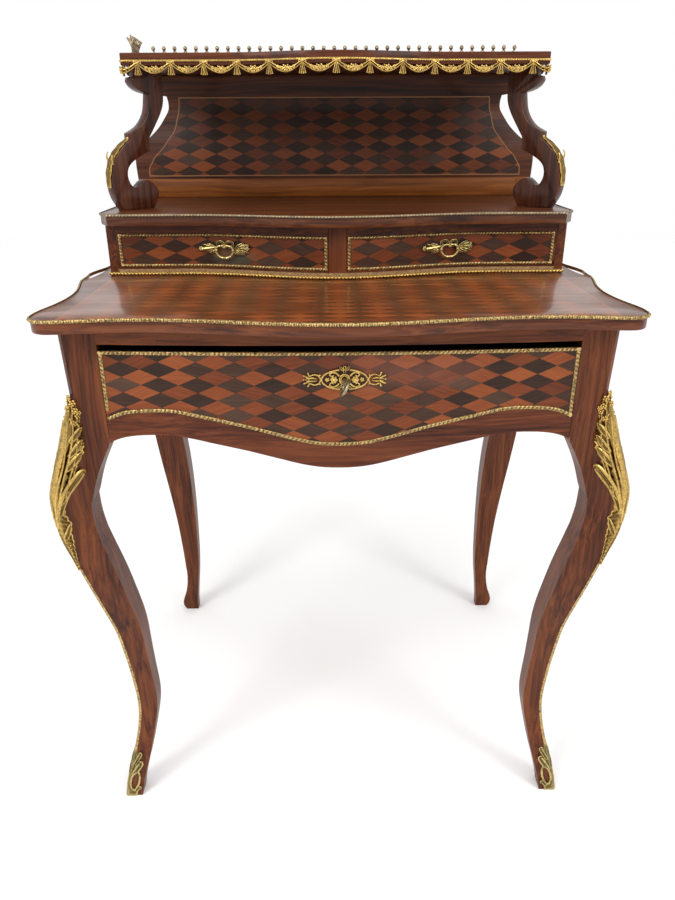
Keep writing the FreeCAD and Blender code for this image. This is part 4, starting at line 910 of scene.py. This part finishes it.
# scroll brackets and their mounts
scroll = {
    "place": (298, 46, 836), "turn": 45, "level": (0, 17, 1.0), "middle": 8.5, "mountHalf": 7.6,
    "leaves": ((3, -8, 34), (14, -6.5, 70), (3, -7, 66), (14, -9, 40)),
    "runs": [[(78, 183), (79, 155), (74, 130), (49, 93)], [(49, 93), (48, 77)],
             [(48, 77), (29, 69), (13, 58), (9, 44), (15, 31), (24.5, 31)],
             [(24.5, 31), (38, 39), (53, 29.5), (56, 18), (47, 0)], [(47, 0), (-3, 0)],
             [(-3, 0), (-14, 19), (-16.5, 43), (-9.5, 66), (4, 82), (19, 92)],
             [(19, 92), (19, 100)], [(19, 100), (38, 110), (51, 127), (56, 150)],
             [(56, 150), (45, 152.5), (35, 157.5), (29.5, 164.5), (31, 170)],
             [(31, 170), (37, 171)], [(37, 171), (37, 183)], [(37, 183), (78, 183)]],
}
scrollLine = [p for run in scroll["runs"] for p in flatFlow(run, 6)[:-1]]
outerScroll = flatFlow(scroll["runs"][5], 8)


def scrollSpot(side):
    turn = math.radians(scroll["turn"])
    base = Vector((side * scroll["place"][0], *scroll["place"][1:]))
    inward = Vector((-side * math.cos(turn), math.sin(turn), 0))
    across = Vector((side * math.sin(turn), math.cos(turn), 0))
    return lambda a, b, c: base + inward * a + across * c + Vector((0, 0, b))


for side, word in bothSides:
    spot = scrollSpot(side)
    board = Casting()
    board.slab(scrollLine[::-1], roundedEdge(*scroll["level"]), spot)
    board.finish("scrollBracket_" + word, bracketWood, "bracket_" + word)
    mount = Casting()
    line = [p for p in outerScroll if p[1] > 30]
    count = len(line) - 1
    rows = []
    for i, (a, b) in enumerate(line):
        before, after = line[max(i - 1, 0)], line[min(i + 1, count)]
        out = Vector((before[1] - after[1], after[0] - before[0])).normalized()
        t = i / count
        half = 0.35 + 0.65 * math.sin(math.pi * min(1, t * 0.9 + 0.08)) ** 0.6
        half *= scroll["mountHalf"] * (1 + 0.12 * math.sin(t * 34))
        row = []
        for k in range(13):
            c = k / 6 - 1
            rib = 0.5 + 0.5 * math.cos(2 * math.pi * (2.2 * abs(c) - t * 5))
            lift = 1.3 + 1.9 * (1 - c * c) * (0.45 + 0.55 * rib)
            row.append(spot(a + out.x * lift, b + out.y * lift, scroll["middle"] + c * half))
        back = [spot(a + out.x * 0.8, b + out.y * 0.8, scroll["middle"] + c * half)
                for c in (1, -1)]
        rows.append(row + back)
    mount.skin(rows)
    up = spot(-1, 0, 0) - spot(0, 0, 0)
    for c, a, b in scroll["leaves"]:
        tip = [spot(a - 4, b - 6, c), spot(a - 5.5, b + 1, c + (0.8 if c > 8 else -0.8)),
               spot(a - 3.5, b + 7, c)]
        mount.rod(flow(tip, 4), lambda t: 2.6 - 1.6 * t, up, 1.2, leafBlade)
    top = line[-1]
    mount.bead(spot(top[0] + 1, top[1] + 1.5, scroll["middle"]), 3.1, skyward, 0.8, 2)
    mount.finish("scrollMount_" + word, bronze, "bracket_mount_" + word)
print("panel, brackets and bracket mounts made")

# front legs and their bronze; rows are height, arris, ridge out, ridge forward and rear

legBlock = {"x": 322, "y": -214, "low": 652, "lean": [(652, 3.5), (690, 5), (734, 6.5)],
            "levels": [500 + 92 * i / 24 for i in range(25)] + [652, 680, 707, 734],
            "arch": [(500, -2), (512, -6.5), (530, -12), (549, -19), (567, -27.5), (584, -36),
                     (592, -38)]}
legRows = [
    (0, 10, -14, 10, -14), (20, 6, -18, 6, -18), (46, 0, -24, 0, -24), (74, -7, -32, -8, -32),
    (118, -17, -42, -18, -42), (158, -21, -49, -22, -49), (216, -18.5, -48, -20, -48),
    (260, -14, -47, -14, -47), (297, -10, -46, -11, -46), (355, 2, -39, 0, -40),
    (411, 13, -31, 9, -31), (437, 18, -26, 11, -28), (472, 26, -15, 7, -31),
    (505, 28.5, -6.5, 0.3, -36), (528, 28.5, -5.5, -0.6, -30), (549, 25, -5, -0.6, -25),
    (570, 20.5, -5, -0.6, -22), (598, 12, -5, -0.6, -20), (628, 4.5, -5, -0.6, -20),
    (652, -1, -5, -1.6, -20)]
legCurves = [flatFlow([(row[0], row[k]) for row in legRows], 10) for k in range(1, 5)]
legLean = [(0, 0), (60, -0.5), (142, 1), (200, 2), (259, 2), (318, 2.5), (347, 3), (391, 4),
           (417, 4.5), (450, 4.5), (500, 4), (530, 4), (560, 3.6), (600, 3.6), (630, 3), (652, 1.5)]
ridgeLean = [(0, 0), (60, -0.5), (142, 1), (200, 3), (259, 4), (318, 4.5), (347, 5.5), (391, 6.5),
             (430, 8.5), (455, 9), (480, 7), (505, 3), (530, 1.5), (560, 0), (652, 0)]


def legRead(level):  # the four values evened over 32 mm, then how blunt the arris is
    at = [max(0, min(652, level + step)) for step in (-16, -8, 0, 8, 16)]
    out = [sum(reading(curve, z) for z in at) / len(at) for curve in legCurves]
    out[0] += reading(legLean, level)
    out[1] += reading(ridgeLean, level)
    return out + [2 + 3 * max(0, min(1, (level - 300) / 250, (652 - level) / 50))]


def legLine(level):
    # bare section as (out, forward): front face, blunted arris, side face
    swell, ridgeOut, ridgeFwd, rear, blunt = legRead(level)
    return [(ridgeOut - 40, min(ridgeFwd, 0)), (ridgeOut, ridgeFwd), (swell - blunt, swell),
            (swell, swell - blunt), (ridgeFwd, rear), (min(ridgeFwd, 0), rear - 40)]


def legPlace(side, level, corners):  # corners as (out, forward) from the leg's own corner
    return [Vector((side * (legBlock["x"] + a), legBlock["y"] - b, level)) for a, b in corners]


for side, word in bothSides:
    leg = Casting()
    rows = []
    for i in range(110):
        level = legBlock["low"] * i / 109
        corners = legLine(level)[1:5]
        corners.append((corners[0][0], corners[3][1]))
        rows.append(legPlace(side, level, corners))
    leg.skin(rows)
    arch = flatFlow(legBlock["arch"], 6)
    rows = []
    for level in legBlock["levels"]:
        inner = reading(arch, level)
        out = reading(legBlock["lean"], level)
        corners = [(inner, 0), (out - 5, 0), (out, -5), (out, -38), (inner, -38)]
        if level < legBlock["low"]:
            corners = [(inner, 0), (-1, 0), (3, -5), (3, -37), (inner, -37)]
        rows.append(legPlace(side, level, corners))
    leg.skin(rows)
    leg.finish("cabrioleLeg_" + word, uprightWood, "leg_front_" + word, sharp=24)


def legSpot(side, level, reach, lift):
    # point over the leg: reach in mm from the arris, positive across the front face
    line = legLine(level)
    middle = Vector(line[2]).lerp(Vector(line[3]), 0.5)
    path = [middle] + ([Vector(p) for p in line[2::-1]] if reach >= 0
                       else [Vector(p) for p in line[3:]])
    left = abs(reach)
    for a, b in zip(path, path[1:]):
        size = (b - a).length
        if left <= size or b is path[-1]:
            break
        left -= size
    spot = a + (b - a) * (left / size)
    step = (b - a).normalized()
    normal = Vector((-step.y, step.x))
    if (normal.y if reach >= 0 else normal.x) < 0:
        normal = -normal
    share = min(1, abs(reach) / 6)
    normal = (normal * share + Vector((0.7071, 0.7071)) * (1 - share)).normalized()
    return legPlace(side, level, [spot + normal * lift])[0]


def legUp(side, level, reach):
    return (legSpot(side, level, reach, 5) - legSpot(side, level, reach, 0)).normalized()


def legShell(work, side, levels, ribs, reach, relief, under):
    # bronze skin over the leg: reach(level, side of it) and relief(level, 0..1 from the arris)
    rows = []
    for level in levels:
        row = [legSpot(side, level, k / ribs * reach(level, k) + 0.001,
                       relief(level, abs(k) / ribs)) for k in range(-ribs, ribs + 1)]
        few = ribs // 2
        row += [legSpot(side, level, k / few * reach(level, k) * 0.98 + 0.001, under)
                for k in range(few, -few - 1, -1)]
        rows.append(row)
    work.skin(rows)


# knee: each leaf has its line as (level, reach, lift), its width and its height; each rib its
# line, its width, how much it thins and its height

knee = {
    "levels": [417 + 223 * i / 112 for i in range(113)], "under": 0.7,
    "reach": [(417, 3), (438, 5), (452, 8), (468, 12), (478, 13), (489, 17), (497, 14), (506, 12),
              (516, 13), (526, 17), (537, 28), (547, 31), (552, 36), (558, 27), (568, 29),
              (575, 32), (586, 29), (592, 31), (603, 25), (609, 26), (618, 18), (626, 15),
              (634, 12), (640, 7)],
    "leaves": [([(520, 7, 3), (535, 17, 4.5), (548, 27, 6), (554, 35, 5), (551, 38, 3)], 6.5, 2.4),
               ([(505, 5, 3), (522, 11, 4), (537, 20, 4), (544, 28, 3)], 5, 2.0),
               ([(562, 12, 3.5), (572, 22, 4.5), (580, 30, 3.5)], 5.5, 2.0),
               ([(578, 12, 3.5), (588, 21, 4.2), (595, 28, 3)], 5, 1.8),
               ([(596, 8, 3.5), (605, 16, 4.2), (611, 23, 3)], 4.6, 1.8),
               ([(470, 4, 2.5), (480, 9, 3.2), (490, 15, 2.2)], 4.2, 1.6)],
    "ribs": [([(500, 3, 2.8), (540, 8, 3.8), (580, 12, 4), (612, 9, 3.6), (626, 4, 3.2)],
              1.9, 0.8, 1.7),
             ([(505, 8, 3), (545, 17, 4.4), (578, 21, 4.2), (600, 17, 3.8)], 1.5, 0.7, 1.4),
             ([(488, 1.5, 2.4), (530, 3.5, 3.4), (575, 6, 3.8), (622, 3, 2.8)], 1.6, 0.7, 1.5),
             ([(515, 11, 3.6), (552, 22, 4.6), (572, 26, 4)], 1.4, 0.8, 1.3)],
    "buds": [(618, 9, 3.6), (626, 13, 3.4), (633, 8, 3.6), (630, 16, 2.4)],
    "crown": [(636, 0.001, 4.2), (643, 4, 3.8), (643, -4, 3.8), (649, 0.001, 3.8)],
}
sabot = {
    "levels": [0.4 + 3 * i for i in range(27)], "under": 0.5,
    "reach": [(0, 15), (10, 16), (14, 6), (30, 3.4), (40, 4.5), (54, 7), (66, 5), (79, 3)],
    "leaves": [([(36, 4, 1.8), (46, 9, 2.6), (55, 13, 2.2), (58, 9.5, 2.4)], 4.2, 1.6),
               ([(52, 3, 1.8), (62, 6.5, 2.4), (70, 9, 1.8), (72, 6, 2)], 3.2, 1.4),
               ([(8, 12, 1.6), (16, 17, 2.2), (12, 20, 1.6)], 3.4, 1.4)],
    "beads": [(44, 12, 1.7), (64, 7, 1.3)],
}
filletLine = [(-2.8, 0.3, 0), (-2.5, 1.0, 0), (-1.2, 1.0, 0.7), (0, 1.3, 0.8), (1.2, 1.0, 0.7),
              (2.5, 1.0, 0), (2.8, 0.3, 0), (0, 0.3, 0)]


def kneeReach(level, k):
    spread = reading(knee["reach"], level) * (1 + 0.05 * math.sin(level * 0.72))
    return spread if k > 0 else spread * 0.9


def kneeRelief(level, r):
    # height over the wood: long ribs above, a plain spine below, rolled edge all along
    edge = 1.1 * math.exp(-((1 - r) / 0.13) ** 2)
    spine = 1.7 * math.exp(-(r / 0.16) ** 2)
    if level > 545:
        ribs = 2.4 * (0.5 + 0.5 * math.cos(2 * math.pi * (2.6 * r - (level - 545) / 75))) ** 1.4
        crown = 1.0 * math.sin(math.pi * min(1, (level - 540) / 95)) * (1 - r * r)
    elif level > 500:
        ribs = 1.2 * (0.5 + 0.5 * math.cos(2 * math.pi * (2.4 * r + (level - 500) / 40)))
        crown = 1.5 * (1 - r * r)
    else:
        ribs = 0.7 * (0.5 + 0.5 * math.cos(2 * math.pi * (level / 7 + r * 1.5)))
        crown = 1.0 * (1 - r * r)
    return 0.9 + edge + spine + ribs * (0.35 + 0.65 * r) + crown


def sabotRelief(level, r):
    return 1.2 + 1.0 * (1 - r) + 0.5 * math.exp(-((1 - r) / 0.2) ** 2)


def legLeaves(work, side, lean, leaves, up):
    for line, wide, high in leaves:
        work.leaf([legSpot(side, z, lean * w, lift) for z, w, lift in line], wide, up, high)


for side, word in bothSides:
    mount = Casting()
    legShell(mount, side, knee["levels"], 14, kneeReach, kneeRelief, knee["under"])
    for lean in (1, -1):
        up = lambda place, along: legUp(side, min(640, max(420, place.z)), lean * 12)
        legLeaves(mount, side, lean, knee["leaves"], up)
        for line, wide, thins, high in knee["ribs"]:
            mount.rod(flow([legSpot(side, z, lean * w, lift) for z, w, lift in line], 6),
                      lambda t: wide - thins * t, up, high)
        for z, w, r in knee["buds"]:
            mount.flower(legSpot(side, z, lean * w, 3), r * 1.25, legUp(side, z, lean * w), 5, w)
        for z in range(424, 466, 6):
            mount.bead(legSpot(side, z, lean * reading(knee["reach"], z) * 0.55, 2.2), 1.25,
                       legUp(side, z, lean * 3), 0.8)
    for z, w, r in knee["crown"]:
        mount.flower(legSpot(side, z, w, 2.6), r * 1.2, legUp(side, 640, w), 5, z)
    mount.finish("kneeMount_" + word, bronze, "knee_mount_" + word, sharp=55)

    # thin fillet down the arris
    fillet = Casting()
    rows = []
    for i in range(171):
        level = 78 + 341 * i / 170
        bump = 0.5 + 0.5 * abs(math.sin(level * 0.62))
        rows.append([legSpot(side, level, w + 0.001, lift + more * bump)
                     for w, lift, more in filletLine])
    fillet.skin(rows)
    fillet.finish("legFillet_" + word, paleBronze, "leg_fillet_" + word)

    # sabot: toe cap, pierced loop and leaf curls
    shoe = Casting()
    legShell(shoe, side, sabot["levels"], 8, lambda level, k: reading(sabot["reach"], level),
             sabotRelief, sabot["under"])
    for lean in (1, -1):
        up = lambda place, along: legUp(side, max(2, place.z), lean * 8)
        loop = [legSpot(side, 26 + 15 * math.sin(a), lean * (9.5 + 6.2 * math.cos(a)), 1.6)
                for a in [math.pi * k / 10 for k in range(21)]]
        shoe.rod(loop, 1.7, up, 1.5)
        legLeaves(shoe, side, lean, sabot["leaves"], up)
        for z, w, r in sabot["beads"]:
            shoe.bead(legSpot(side, z, lean * w, 2.0), r, legUp(side, z, lean * w), 0.7, 2)
    shoe.finish("sabot_" + word + "Mount", oldGilt, "sabot_" + word, sharp=50)
print("front legs and their mounts made")

# escutcheon and key

escutcheon = {
    "x": 5, "z": 673, "oval": (27, 12.2), "bar": 1.15,
    "arcs": ((0.12, 1.32), (1.82, 3.02), (3.26, 4.5), (4.92, 6.16)),
    "curl": ((6.5, 4.5), (10, 8), (15, 8.6), (17.5, 6), (15, 4), (12.8, 5.4)),
    "cross": ((24, 6.2), (27.2, 1.4), (30.5, -4.8), (36, -6.2), (41, -4.6), (42.6, -7.6)),
    "wing": ((41, 1), (44.5, 3.4), (47.4, 4.6)),
    "beads": ((42.8, 8.0, 1.3, 2), (29, 5.4, 1.2, 2), (47.8, 4.8, 1.0, 1)),
    "tip": ((32.5, 0), (37, 0), (42, 0), (47.5, 0)),
    "crest": ((1.5, 11.5), (4, 13.5), (5.6, 16)), "drop": ((3, -7), (7, -10.5), (11, -11.5)),
}


def plateSpot(a, b, off=1.4):
    spot = bowedFace(escutcheon["x"] + a, escutcheon["z"] + b)
    return spot + Vector((0, -off, 0))


def plateLine(name, off=1.4, right=1, up=1):
    return [plateSpot(right * a, up * b, off) for a, b in escutcheon[name]]


def bezel(wide, high, bar, off, steps=28, first=0.0, last=2 * math.pi):
    turns = [first + (last - first) * k / steps for k in range(steps + 1)]
    plate.rod([plateSpot(wide * math.cos(t), high * math.sin(t), off) for t in turns], bar, ahead)


plate = Casting()
wide, high = escutcheon["oval"]
for first, last in escutcheon["arcs"]:
    bezel(wide, high, escutcheon["bar"], 1.5, 16, first, last)
bezel(5.6, 6.2, 1.3, 1.5)
bezel(3.7, 4.2, 0.8, 1.2)
for lean in (-1, 1):
    plate.flower(plateSpot(lean * 12.5, 0, 1.6), 4.6, ahead, 6, 0.2)
    plate.flower(plateSpot(lean * 20.5, 0), 2.8, ahead, 5, 0.6)
    for b in (-1, 1):
        plate.rod(flow(plateLine("curl", 1.4, lean, b), 4), lambda t: 1.2 - 0.4 * t, ahead)
        plate.rod(flow(plateLine("cross", 1.5, lean, b), 4), 0.95, ahead)
        plate.rod(flow(plateLine("wing", 1.5, lean, b), 4), lambda t: 1.5 - 0.6 * t, ahead)
        for a, c, r, fine in escutcheon["beads"]:
            plate.bead(plateSpot(lean * a, b * c), r, ahead, 0.8, fine)
    plate.leaf(plateLine("tip", 1.5, lean), 3.0, ahead, 1.6)
    plate.bead(plateSpot(lean * 48.2, 0), 1.1, ahead, 0.8)
    plate.leaf(plateLine("crest", 1.4, lean), 1.8, ahead, 1.2)
    plate.leaf(plateLine("drop", 1.4, lean), 1.7, ahead, 1.2)
plate.leaf([plateSpot(0, 9), plateSpot(0, 13.5, 1.8), plateSpot(0, 17.5)], 2.7, ahead, 1.8)
for a in range(0, 360, 15):
    t = math.radians(a)
    plate.bead(plateSpot(wide * math.cos(t), high * math.sin(t), 2.0), 1.15, ahead, 0.7)
plate.finish("keyPlate", bronze, "escutcheon", "main_drawer")

keyPart = {
    "shank": 2.5, "front": -250, "rear": -185, "bowY": -257.5, "bow": (8.6, 9.2), "turn": 24,
    "collars": ((-243, 3.6), (-241, 3.1), (-246.5, 3.2)),
    "curl": ((7, 0.6), (3.5, 2.2), (1, 4.6), (-2.4, 4.2), (-3.4, 1.6), (-1.6, 0.8)),
    "bitY": (-192.5, -186.5), "bitHalf": 1.2, "bitRows": (-8, -5, -1.5),
}
key = Casting()
spin = Matrix.Rotation(math.radians(keyPart["turn"]), 3, "Y")
keySide = spin @ Vector((1, 0, 0))


def keySpot(across, deep, rise):  # the key's own axes about its shank
    turned = spin @ Vector((across, 0, rise))
    return Vector((escutcheon["x"] + turned.x, deep, escutcheon["z"] + turned.z))


key.rod([keySpot(0, keyPart["front"] + (keyPart["rear"] - keyPart["front"]) * i / 10, 0)
         for i in range(11)], keyPart["shank"], skyward)
for y, r in keyPart["collars"]:
    key.rod([keySpot(0, y + step, 0) for step in (-0.8, -0.3, 0.3, 0.8)],
            lambda t: r * (0.86 + 0.14 * math.sin(math.pi * t)), skyward)
deep, tall = keyPart["bow"]
ring = []
for k in range(33):
    t = math.pi * k / 16
    pinch = 1 + 0.12 * math.cos(2 * t)
    ring.append(keySpot(0.9 * math.sin(t), keyPart["bowY"] - 0.4 + deep * math.cos(t) * pinch,
                        tall * math.sin(t)))
key.rod(ring, 2.0, keySide, 1.8)
for lean in (-1, 1):
    curl = [keySpot(0, keyPart["bowY"] + a, lean * b) for a, b in keyPart["curl"]]
    key.rod(flow(curl, 4), 1.0, keySide)
half, (front, rear) = keyPart["bitHalf"], keyPart["bitY"]
key.skin([[Vector((escutcheon["x"] + a, b, escutcheon["z"] + c)) for a, b in (
    (-half, front), (half, front), (half, rear), (-half, rear))] for c in keyPart["bitRows"]])
key.finish("drawerKey", iron, "key", "key")
print("escutcheon and key made")

# handles of the small drawers; each spray has its side, its stalks' start and fall, its leaves
# as (across, up, width) and its flowers as (across, up, lift, radius, petals, turn)

pull = {
    "x": 156, "z": 787, "pinZ": 792, "pinOff": 6,
    "torch": (-1, 1.5, 0.3, ((-36, 1, 2.6), (-34, 6.5, 2.2), (-31, -4, 2.3), (-27, 8, 2.2),
                             (-25, -6.5, 2.0), (-38, -2.5, 1.8)),
              ((-35, 0.5, 2.6, 3.4, 6, 0.4), (-24, 4.2, 2.4, 2.8, 5, 0.9),
               (-20, -2.6, 2.4, 2.6, 5, 0.1))),
    "roses": (1, 1.0, 0.4, ((36, 2, 2.3), (33, 7.5, 2.2), (28, 10, 1.9), (34, -4, 2.3),
                            (29, -7.5, 2.4), (22, -8, 2.0)),
              [(a, b, 2.6, r, 5, a) for a, b, r in ((20, 2, 3.0), (26, 5, 3.4), (25, -2.5, 3.2),
                                               (31, 1.2, 3.0), (18, -4, 2.2), (32, 5.5, 2.2))]),
    "loop": ((0, 8.5, 3.5), (4.5, 13, 4.2), (10.5, 12, 3.4), (11, 7.5, 2.8), (5.5, 6.6, 3.4),
             (0.5, 8.2, 3.8)),
    "tail": ((0, 8, 3.4), (6, 5, 3.0), (12, 4.2, 2.0), (16, 1.4, 1.6)),
    "lug": ((0.2, 0.5), (0.8, 0), (7.2, 0), (8.4, 0.5)),
    "arm": [(4.2, 0), (8.2, -0.6), (11.6, -3.2), (12.6, -7.6), (10.4, -12.4), (5.6, -15.6),
            (0, -16.4)],
}
pullSlope = math.atan(caseY(161) / 10 - caseY(151) / 10)
for side, word in bothSides:
    base = Vector((side * pull["x"], caseY(pull["x"]), pull["pinZ"]))
    turn = Matrix.Rotation(pullSlope * side, 3, "Z")
    front, right = turn @ Vector(ahead), turn @ Vector((1, 0, 0))

    def spraySpot(a, b, off):  # on the drawer's face, a to the right and b up
        return caseFace(side * pull["x"] + a, pull["z"] + b, off)

    def hangSpot(a, b):  # in the plane of the hanging bail
        return base + turn @ Vector((a, -pull["pinOff"], b))

    spray = Casting()
    for way, start, fall, leaves, flowers in (pull["torch"], pull["roses"]):
        for k, (a, b, wide) in enumerate(leaves):
            stalk = [spraySpot(way * (13 + k * 0.4), start - fall * k, 1.4),
                     spraySpot(a * 0.66, b * 0.5, 3.0), spraySpot(a, b, 1.6)]
            spray.leaf(stalk, wide, caseUp, 1.5)
        for a, b, lift, r, petals, spun in flowers:
            spray.flower(spraySpot(a, b, lift), r, front, petals, spun)
    spray.rod(flow([spraySpot(-10, 3, 2.5), spraySpot(-22, 1.5, 3.6), spraySpot(-33, 0, 3.0)], 5),
              lambda t: 1.2 + 1.6 * t, caseUp)
    for lean in (-1, 1):
        loop, tail = [[spraySpot(a * lean, b - 2.4, off) for a, b, off in pull[name]]
                      for name in ("loop", "tail")]
        spray.rod(flow(loop, 5), 1.7, caseUp, 0.9, leafBlade)
        spray.rod(flow(tail, 5), lambda t: 1.7 - 0.8 * t, caseUp, 0.9, leafBlade)
    spray.bead(spraySpot(0, 6, 4.4), 2.3, front, 0.8, 2)
    spray.skin([[base + turn @ Vector((a * (2.5 - inset), -off, b * (3 - inset)))
                 for a, b in ((-1, -1), (1, -1), (1, 1), (-1, 1))] for off, inset in pull["lug"]])
    spray.finish("handleSpray_" + word, oldGilt, "handle_plate_" + word, "small_drawer_" + word)

    bail = Casting()
    arm = pull["arm"]
    loop = [hangSpot(a, b) for a, b in arm] + [hangSpot(-a, b) for a, b in arm[-2::-1]]
    bail.rod(flow(loop, 5), lambda t: 1.35 + 0.45 * math.sin(math.pi * t), front)
    bail.rod([hangSpot(-5 + i, 0) for i in range(11)], 1.45, front)
    bail.bead(hangSpot(0, -16.4), 2.3, right, 1.3, 2)
    for lean in (-1, 1):
        bail.bead(hangSpot(lean * 4.6, 0), 2.0, right, 0.7, 2)
        bail.bead(hangSpot(lean * 12.3, -6), 2.1, skyward, 1.2, 2)
    bail.finish("handleRing_" + word, oldGilt, "handle_bail_" + word, "bail_" + word)
print("handles made")

# floor and light

floorMesh = bpy.data.meshes.new("floor")
reach = 6.0
floorMesh.from_pydata([(-reach, -reach, 0), (reach, -reach, 0), (reach, reach, 0),
                       (-reach, reach, 0)], [], [(0, 1, 2, 3)])
floor = placed("floor", floorMesh)
floorPaint, floorShader = newMaterial("floorPaint")[:2]
plug(floorShader, {"Base Color": rgb(246, 246, 246), "Roughness": 0.9, "Specular IOR Level": 0.1})
floorMesh.materials.append(floorPaint)

studio = {"bright": 1.0, "above": 0.5, "low": 0.2, "high": 0.9, "sun": 1.3, "spread": 70,
          "lean": 12}
world = bpy.data.worlds.new("studio")
bpy.context.scene.world = world
world.use_nodes = True
rise = Sock(world.node_tree).node("TexCoord", out=0).axes()[2]
shade = rise.smoothStep(studio["low"], studio["high"]).blend(grey(studio["bright"]),
                                                             grey(studio["above"]))
plug(world.node_tree.nodes["Background"], {0: shade, 1: 1.0})
lamps = [  # place, aimed at, width, height, watts
    ((-1.6, -1.7, 2.4), (0, 0, 0.75), 0.9, 1.4, 34),
    ((1.7, -1.5, 2.2), (0, 0, 0.7), 0.8, 1.4, 24),
]
for i, (place, aim, wide, high, watts) in enumerate(lamps):
    lampData = bpy.data.lights.new("softbox%d" % i, "AREA")
    lampData.shape = "RECTANGLE"
    lampData.size, lampData.size_y, lampData.energy = wide, high, watts
    lamp = placed("softbox%d" % i, lampData)
    lamp.location = place
    lamp.rotation_euler = (Vector(aim) - Vector(place)).to_track_quat("-Z", "Y").to_euler()
sunData = bpy.data.lights.new("skylight", "SUN")  # very broad, so that the floor is lit evenly
sunData.energy, sunData.angle = studio["sun"], math.radians(studio["spread"])
sun = placed("skylight", sunData)
sun.rotation_euler = (math.radians(studio["lean"]), 0, 0)
bpy.context.scene.view_settings.view_transform = "Standard"
print("floor and light set")
